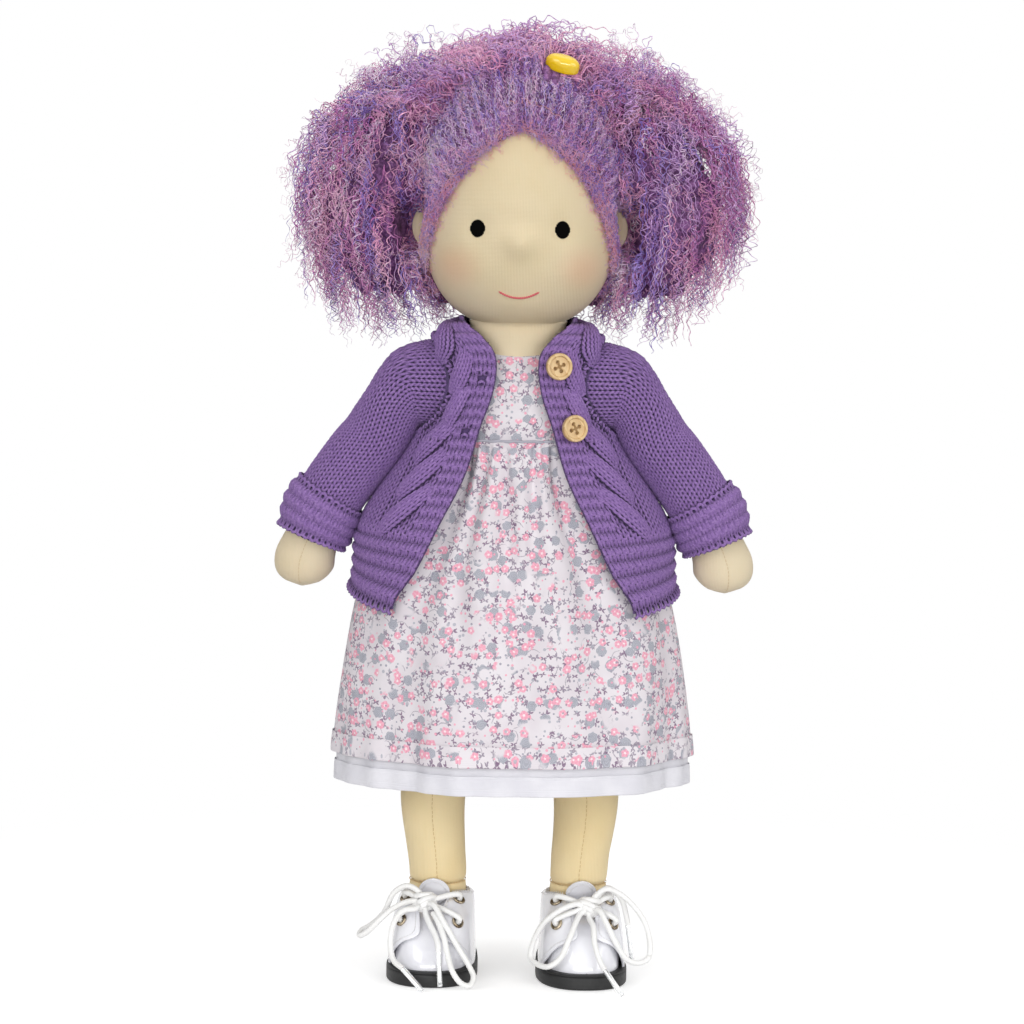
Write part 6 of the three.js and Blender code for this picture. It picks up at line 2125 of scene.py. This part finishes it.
ROLL_RIBS = 46
ROLL_DEPTH = 21
BACK_POLE = unit(np.array([0, 1.0, 0.25]))


def roll_depth(along):
    """How far the roll reaches back from the hairline: a full roll over the forehead, a narrow strip by the ears."""
    return mix(8.0, ROLL_DEPTH, smooth(318, 350, along_hairline(along, 1)))


def roll_point(along, reach, lift):
    """A point of the cap's front roll by its share of the hairline, its distance behind it and its height."""
    first = on_head(along_hairline(along, 0), along_hairline(along, 1), 0.8) - HEAD_MIDDLE
    far = np.linalg.norm(first, axis=-1)
    da = unit(first)
    angle = np.arccos(np.clip(da @ BACK_POLE, -0.9999, 0.9999))
    deep = roll_depth(along)
    d = between_directions(da, BACK_POLE, angle[..., None], (reach / (angle * 50))[..., None])
    cap = cap_radius(d, 4.6, 15.5)
    cap = mix(cap_radius(d, 0.9, 15.5), cap, smooth(327, 348, HEAD_MIDDLE[2] + d[..., 2] * cap))
    body = mix(far, cap, smooth(0, 8, reach))
    full = (deep - 7) / (ROLL_DEPTH - 7)
    hump = 2.6 * full * np.sin(np.clip(reach / deep, 0, 1) * math.pi) ** 0.7
    rib = full * np.cos(2 * math.pi * (ROLL_RIBS * along + 0.3 * np.sin(along * 47)))
    rib = rib * smooth(1, 6, reach) * (1 - smooth(15, 24, reach))
    return HEAD_MIDDLE + d * (body + hump + rib + lift)[..., None]


def make_roll(rng):
    """The knitted front of the cap: a ribbed roll with brushed fibres over it."""
    along = np.linspace(0, 1, 560)[None, :]
    reach = np.linspace(-0.02, 1.19, 40)[:, None] * roll_depth(along)
    lumps = 0.35 * np.sin(along * 610 + 3 * np.sin(reach * 0.9)) * np.cos(reach * 1.9)
    # the roll is in the darker mohair, partly painted shade between its fibres
    skin = shell("roll_knit", roll_point(along + 0 * reach, reach, lumps), 1.2, MATERIALS["hair_deep"], roll=2)
    attach(skin, "head", "mohair")
    for tone, near, count, thick in (
        ("hair_pale", 0.11, 1100, (0.11, 0.2)), ("hair_lilac", 0.2, 1000, (0.14, 0.26)),
        ("hair_blue", 0.2, 1000, (0.14, 0.26)), ("hair_pink", 0.34, 650, (0.12, 0.22)),
    ):
        rib = rng.integers(0, ROLL_RIBS, count)
        shift = 0.5 if tone == "hair_blue" else 0.0
        along = np.abs((rib + shift + rng.normal(0, near, count) - 0.3 * np.sin(rib / ROLL_RIBS * 47)) / ROLL_RIBS)
        along = np.where(along > 1, 2 - along, along)[:, None]
        depth = roll_depth(along)
        first = rng.uniform(-0.1, 1.15, count)[:, None] * depth
        long = depth / ROLL_DEPTH * rng.uniform(5, 12, count)[:, None]
        long = long * rng.choice([-1, 1], (count, 1), p=(0.25, 0.75))
        t = np.linspace(0, 1, 20)[None, :]
        lean = rng.normal(0, 0.016, (count, 1))
        lift = 0.2 + rng.uniform(0.3, 2.4, (count, 1)) * np.sin(math.pi * t * rng.uniform(0.6, 1.0, (count, 1)))
        lift = lift * mix(0.4, 1, depth / ROLL_DEPTH)
        paths = roll_point(along + lean * t, np.clip(first + long * t, -3, 30), lift)
        strand_object("roll_" + tone, paths, rng.uniform(*thick, count), rng.uniform(0.35, 1.0, count),
                      rng.uniform(2.2, 4.4, count), rng, MATERIALS[tone], 20)


def make_bunch(side, way, rng):
    """One bunch: its mass, its locks, and long ringlets over it, some of them past its edge."""
    polar = np.linspace(0.08, math.pi - 0.08, 90)[:, None]
    turn = turns(140)
    lump = 0.69 + 0.05 * np.sin(5 * turn + 2 * np.sin(3 * polar)) + 0.03 * np.cos(9 * polar + 3 * turn)
    lump = lump * (1 - 0.14 * smooth(1.7, 2.7, polar))
    lump = lump + 0.022 * np.sin(23 * turn + 9 * np.sin(5 * polar)) * np.sin(19 * polar + 4 * np.cos(3 * turn))
    core = clear_of_ear(outside_cap(bunch_point(polar, turn, lump), 5.8, 16.5)) * (way, 1, 1)
    # the core is in the darker mohair: painted shade between the locks
    mass = closed_skin("bunch_core_" + side, core, MATERIALS["hair_deep"])
    attach(mass, "head", "mohair", "hair_bunch_" + side)
    for tone, count in (("hair_lilac", 112), ("hair_pink", 112), ("hair_plum", 104), ("hair_blue", 84)):
        guides = bunch_paths(count, rng, way, 0.84)
        locks("_".join(("bunch", tone, side)), guides, rng.uniform(28, 50, count), rng, MATERIALS[tone])
    count = 60
    guides = bunch_paths(count, rng, way, 0.96, 1.07)
    locks("long_locks_" + side, guides, rng.uniform(25, 80, count), rng, MATERIALS["hair_pale"], each=2,
          points=100, radius=(0.16, 0.3), amplitude=(1.0, 2.2), wave=(3.4, 5.4), spread=1.0)


def split_locks(word, side, guides, tones, keep, rng, **more):
    """Locks of two colours by turns."""
    for k, tone in enumerate(tones):
        part = guides[k::2]
        locks("_".join((word, tone, side)), part, rng.uniform(*keep, len(part)), rng, MATERIALS[tone], **more)


def make_crown_curls(side, way, rng):
    """Short curls that stand up all over the crown."""
    count = 200
    d = unit(xyz(way * rng.uniform(-0.12, 0.72, count), rng.uniform(-0.42, 0.7, count), 1.0))
    starts = HEAD_MIDDLE + d * cap_radius(d, 3.0, 14.0)[:, None]
    lean = unit(xyz(way * rng.uniform(-0.5, 1.0, count), rng.uniform(-0.25, 1.0, count), 0.0))
    long = rng.uniform(12, 30, count)[:, None, None]
    t = np.linspace(0, 1, 40)[None, :, None]
    rise = rng.uniform(3.5, 9.5, count)[:, None, None] * np.sin(t * math.pi * 0.8)
    guides = outside_cap(starts[:, None] + lean[:, None] * long * t + d[:, None] * rise, 5.0, 16.0)
    split_locks("crown", side, guides, ("hair_pink", "hair_lilac"), (25, 40), rng, points=40, amplitude=(0.9, 2.4))


def make_cap_locks(side, way, rng):
    """Locks combed over the back and the side of the cap towards the bunch."""
    count = 180
    theta = rng.uniform(0.5, 2.5, count)
    turn = rng.uniform(-0.05, 0.52, count)
    d = unit(xyz(way * np.abs(np.sin(theta) * np.sin(turn)), np.sin(theta) * np.cos(turn), np.cos(theta)))
    starts = HEAD_MIDDLE + d * cap_radius(d, 4.0, 15.0)[:, None]
    guides = clear_of_ear(cap_paths(starts, way, rng.uniform(0.3, 1.8, count), rng))
    split_locks("cap_back", side, guides, ("hair_lilac", "hair_plum"), (120, 160), rng, each=3, points=56,
                radius=(0.36, 0.58), amplitude=(0.6, 1.4), spread=1.2)
    count = 100
    theta = rng.uniform(1.1, 2.6, count)
    turn = rng.uniform(-0.1, 1.1, count)
    d = xyz(way * np.sin(theta) * np.cos(turn), np.sin(theta) * np.sin(turn), np.cos(theta))
    starts = HEAD_MIDDLE + d * cap_radius(d, 3.5, 15.0)[:, None]
    guides = clear_of_ear(cap_paths(starts, way, rng.uniform(0.3, 1.8, count), rng))
    locks("cap_side_" + side, guides, rng.uniform(60, 90, count), rng, MATERIALS["hair_plum"], each=3,
          amplitude=(0.6, 1.6), spread=1.0)


def make_loose_fibres(side, way, rng):
    """Fine loose fibres round the bunch."""
    count = 520
    first = bunch_paths(count, rng, way, 0.9)[:, 34]
    out = unit(unit(first - (way * 55, 12, 338)) + rng.normal(0, 0.6, (count, 3)))
    long = rng.uniform(4, 10, count)[:, None]
    c1 = first + out * long * 0.5
    c2 = c1 + rng.normal(0, 1, (count, 3)) * 3.0
    end = first + out * long + rng.normal(0, 1, (count, 3)) * 3 + (0, 0, -2.0)
    strand_object("loose_fibres_" + side, clear_of_ear(bezier(first, c1, c2, end, 20)),
                  rng.uniform(0.09, 0.16, count), rng.uniform(0.8, 2.2, count), rng.uniform(2.8, 4.8, count), rng,
                  MATERIALS["hair_pink"], 30)


def make_face_strands(rng):
    """Strands that follow the face's edge down to the jaw."""
    for tone, count in (("hair_pink", 90), ("hair_peach", 50), ("hair_lilac", 80), ("hair_blue", 60)):
        first = np.abs(rng.normal(0, 0.24, (count, 1)))
        long = rng.uniform(0.05, 0.17, (count, 1))
        t = np.linspace(0, 1, 30)
        along = np.clip(first + long * (1 - t), 0, 0.5)
        along = np.where(rng.random((count, 1)) < 0.5, along, 1 - along)
        reach = rng.uniform(-1.6, 5.5, (count, 1)) + rng.uniform(-2.5, 2.5, (count, 1)) * t
        lift = rng.uniform(0.3, 1.6, (count, 1)) + rng.uniform(0, 1.6, (count, 1)) * np.sin(t * math.pi)
        strand_object("face_" + tone, roll_point(along, reach, lift), rng.uniform(0.1, 0.2, count),
                      rng.uniform(0.4, 1.0, count), rng.uniform(3.0, 6.0, count), rng, MATERIALS[tone], 60)


def make_wisps(rng):
    """Wisps along the hairline."""
    count = 780
    pick = HAIRLINE[rng.integers(0, len(HAIRLINE), count)]
    first = on_head(pick[:, 0], pick[:, 1], 1.5)
    inward = unit(xyz(-pick[:, 0], 0.0, 318 - pick[:, 1]))
    way_out = inward * rng.uniform(-0.6, 0.9, (count, 1)) + rng.normal(0, 0.5, (count, 3)) + (0, -0.4, 0.2)
    long = rng.uniform(3, 8, count)[:, None]
    end = first + unit(way_out) * long
    c1 = first + unit(way_out + rng.normal(0, 0.5, (count, 3))) * long * 0.4
    c2 = end + rng.normal(0, 1, (count, 3)) * 1.5
    paths = outside_cap(bezier(first, c1, c2, end, 20), 0.7, 0.7)
    for k, tone in enumerate(("hair_pink", "hair_lilac", "hair_peach")):
        part = paths[k::3]
        strand_object("hairline_wisps_%d" % k, part, rng.uniform(0.07, 0.13, len(part)),
                      rng.uniform(0.3, 0.9, len(part)), rng.uniform(2.0, 4, len(part)), rng, MATERIALS[tone], 26)


def make_hair():
    rng = np.random.default_rng(5)
    make_cap()
    make_roll(rng)
    for side, way in SIDES:
        make_bunch(side, way, rng)
        make_crown_curls(side, way, rng)
        make_cap_locks(side, way, rng)
        make_loose_fibres(side, way, rng)
    make_face_strands(rng)
    make_wisps(rng)


def make_clip():
    turn = Vector((0, 0, 1)).rotation_difference(Vector(CLIP_FACING)).to_matrix() @ Matrix.Rotation(-0.2, 3, "Z")
    seat = CLIP_SEAT + CLIP_FACING * 3.4
    profile = np.array([(0.02, -0.9), (0.93, -0.9), (0.985, -0.8), (1, -0.6), (1, 0), (0.985, 0.2), (0.94, 0.4),
                        (0.86, 0.6), (0.74, 0.78), (0.58, 0.9), (0.38, 0.97), (0.18, 0.995), (0.02, 1)])
    wide, high = profile[:, :1], profile[:, 1:]
    rings = xyz(wide * np.cos(turns(72)) * 7.3, wide * np.sin(turns(72)) * 4.0, high * 3.4)
    clip = closed_skin("clip_shell", seat + rings @ np.array(turn).T, MATERIALS["clip"])
    attach(clip, "head", "clip_plastic", "hair_clip")


# ---- the whole doll

MATERIALS = {
    "face": jersey_material("face_jersey", srgb(231, 212, 172), srgb(236, 218, 182), blush=True),
    "jersey": jersey_material("jersey", srgb(232, 214, 180), srgb(238, 222, 190)),
    "leg": jersey_material("leg_jersey", srgb(236, 213, 162), srgb(242, 221, 174)),
    "jersey_thread": thread_material("jersey_thread", (226, 202, 158), (200, 172, 126)),
    "leg_thread": thread_material("leg_thread", (222, 194, 140), (196, 164, 110)),
    "eye": thread_material("eye_thread", (4, 3, 3), (1, 1, 1), 0.8, 0.0, 0.05),
    "mouth": thread_material("mouth_cotton", (226, 112, 118), (188, 84, 86), 0.7),
    "shoe_thread": thread_material("shoe_thread", (232, 231, 232), (200, 198, 200)),
    "button_thread": thread_material("button_thread", (190, 152, 96), (140, 104, 60)),
    "lace": grained_material("lace_cotton", (60, 2), (2600, 2), 0.78, 0.0001, 0.5, srgb(232, 231, 228),
                             srgb(250, 250, 250), Sheen_Weight=0.3, Sheen_Roughness=0.5),
    "clear": grained_material("clear_plastic", (90, 2), (400, 2), 0.12, 0.0001, 0.15, (0.93, 0.95, 0.97),
                              (0.99, 1.0, 1.0), Transmission_Weight=0.75, IOR=1.46),
    "rubber": rubber_material(),
    "patent": patent_material(),
    "lining": grained_material("shoe_lining", (700, 3), (700, 3), 0.8, 0.00015, 0.5, srgb(176, 142, 104),
                               srgb(208, 176, 136)),
    "metal": metal_material(),
    # a near-black brown for the eyelets' holes: painted shade
    "dark": grained_material("eyelet_bore", (500,), (900,), 0.9, 0.0001, 0.3, srgb(22, 18, 15), srgb(40, 33, 27)),
    "wood": wood_material(),
    "print": print_material(),
    "white": white_cotton_material(),
    "wool": wool_material("purple_wool", (110, 78, 140), (147, 113, 177), (186, 154, 209)),
    # a darker copy of the wool: painted shade under and inside the knitting
    "wool_back_shaded": wool_material("purple_wool_inside", (80, 58, 108), (112, 86, 142), (136, 110, 166), True),
    "clip": grained_material("clip_plastic", (120, 2), (260, 2), 0.2, 0.0001, 0.2, srgb(246, 203, 4),
                             srgb(252, 216, 22), Coat_Weight=0.6, Coat_Roughness=0.08),
    # the hair's deepest tones: the yarn's own plum, made darker as painted shade deep inside the hair, for the cap,
    # the roll and the bunches' cores
    "hair_deep": mohair_material("mohair_deep", (44, 18, 50), (92, 48, 100), (156, 104, 164), (208, 156, 210),
                                 240, 950),
}
for tone, *shades in (
    ("lilac", (172, 120, 190), (212, 166, 224), (234, 198, 240), (248, 226, 250)),
    ("pink", (214, 128, 184), (244, 174, 214), (252, 204, 230), (255, 230, 242)),
    ("plum", (150, 74, 138), (196, 114, 180), (224, 156, 208), (242, 194, 230)),
    ("blue", (112, 86, 178), (158, 130, 216), (192, 168, 234), (224, 208, 246)),
    ("pale", (228, 188, 236), (246, 216, 246), (252, 232, 250), (255, 244, 253)),
    ("peach", (210, 128, 146), (238, 162, 158), (248, 192, 180), (252, 222, 214)),
):
    MATERIALS["hair_" + tone] = mohair_material("mohair_" + tone, *shades)

for side, way in SIDES:
    make_laces(side)
    make_shoe(side, way)
    make_leg(side, way)
    make_arm(side, way)
    make_sleeve(side, way)
make_torso()
make_head()
make_dress()
make_cardigan()
make_button("upper", COLLAR_HEIGHT - 19, 0.35)
make_button("lower", COLLAR_HEIGHT - 45, 1.0)
make_hair()
make_clip()

bpy.context.scene.view_settings.view_transform = "Standard"
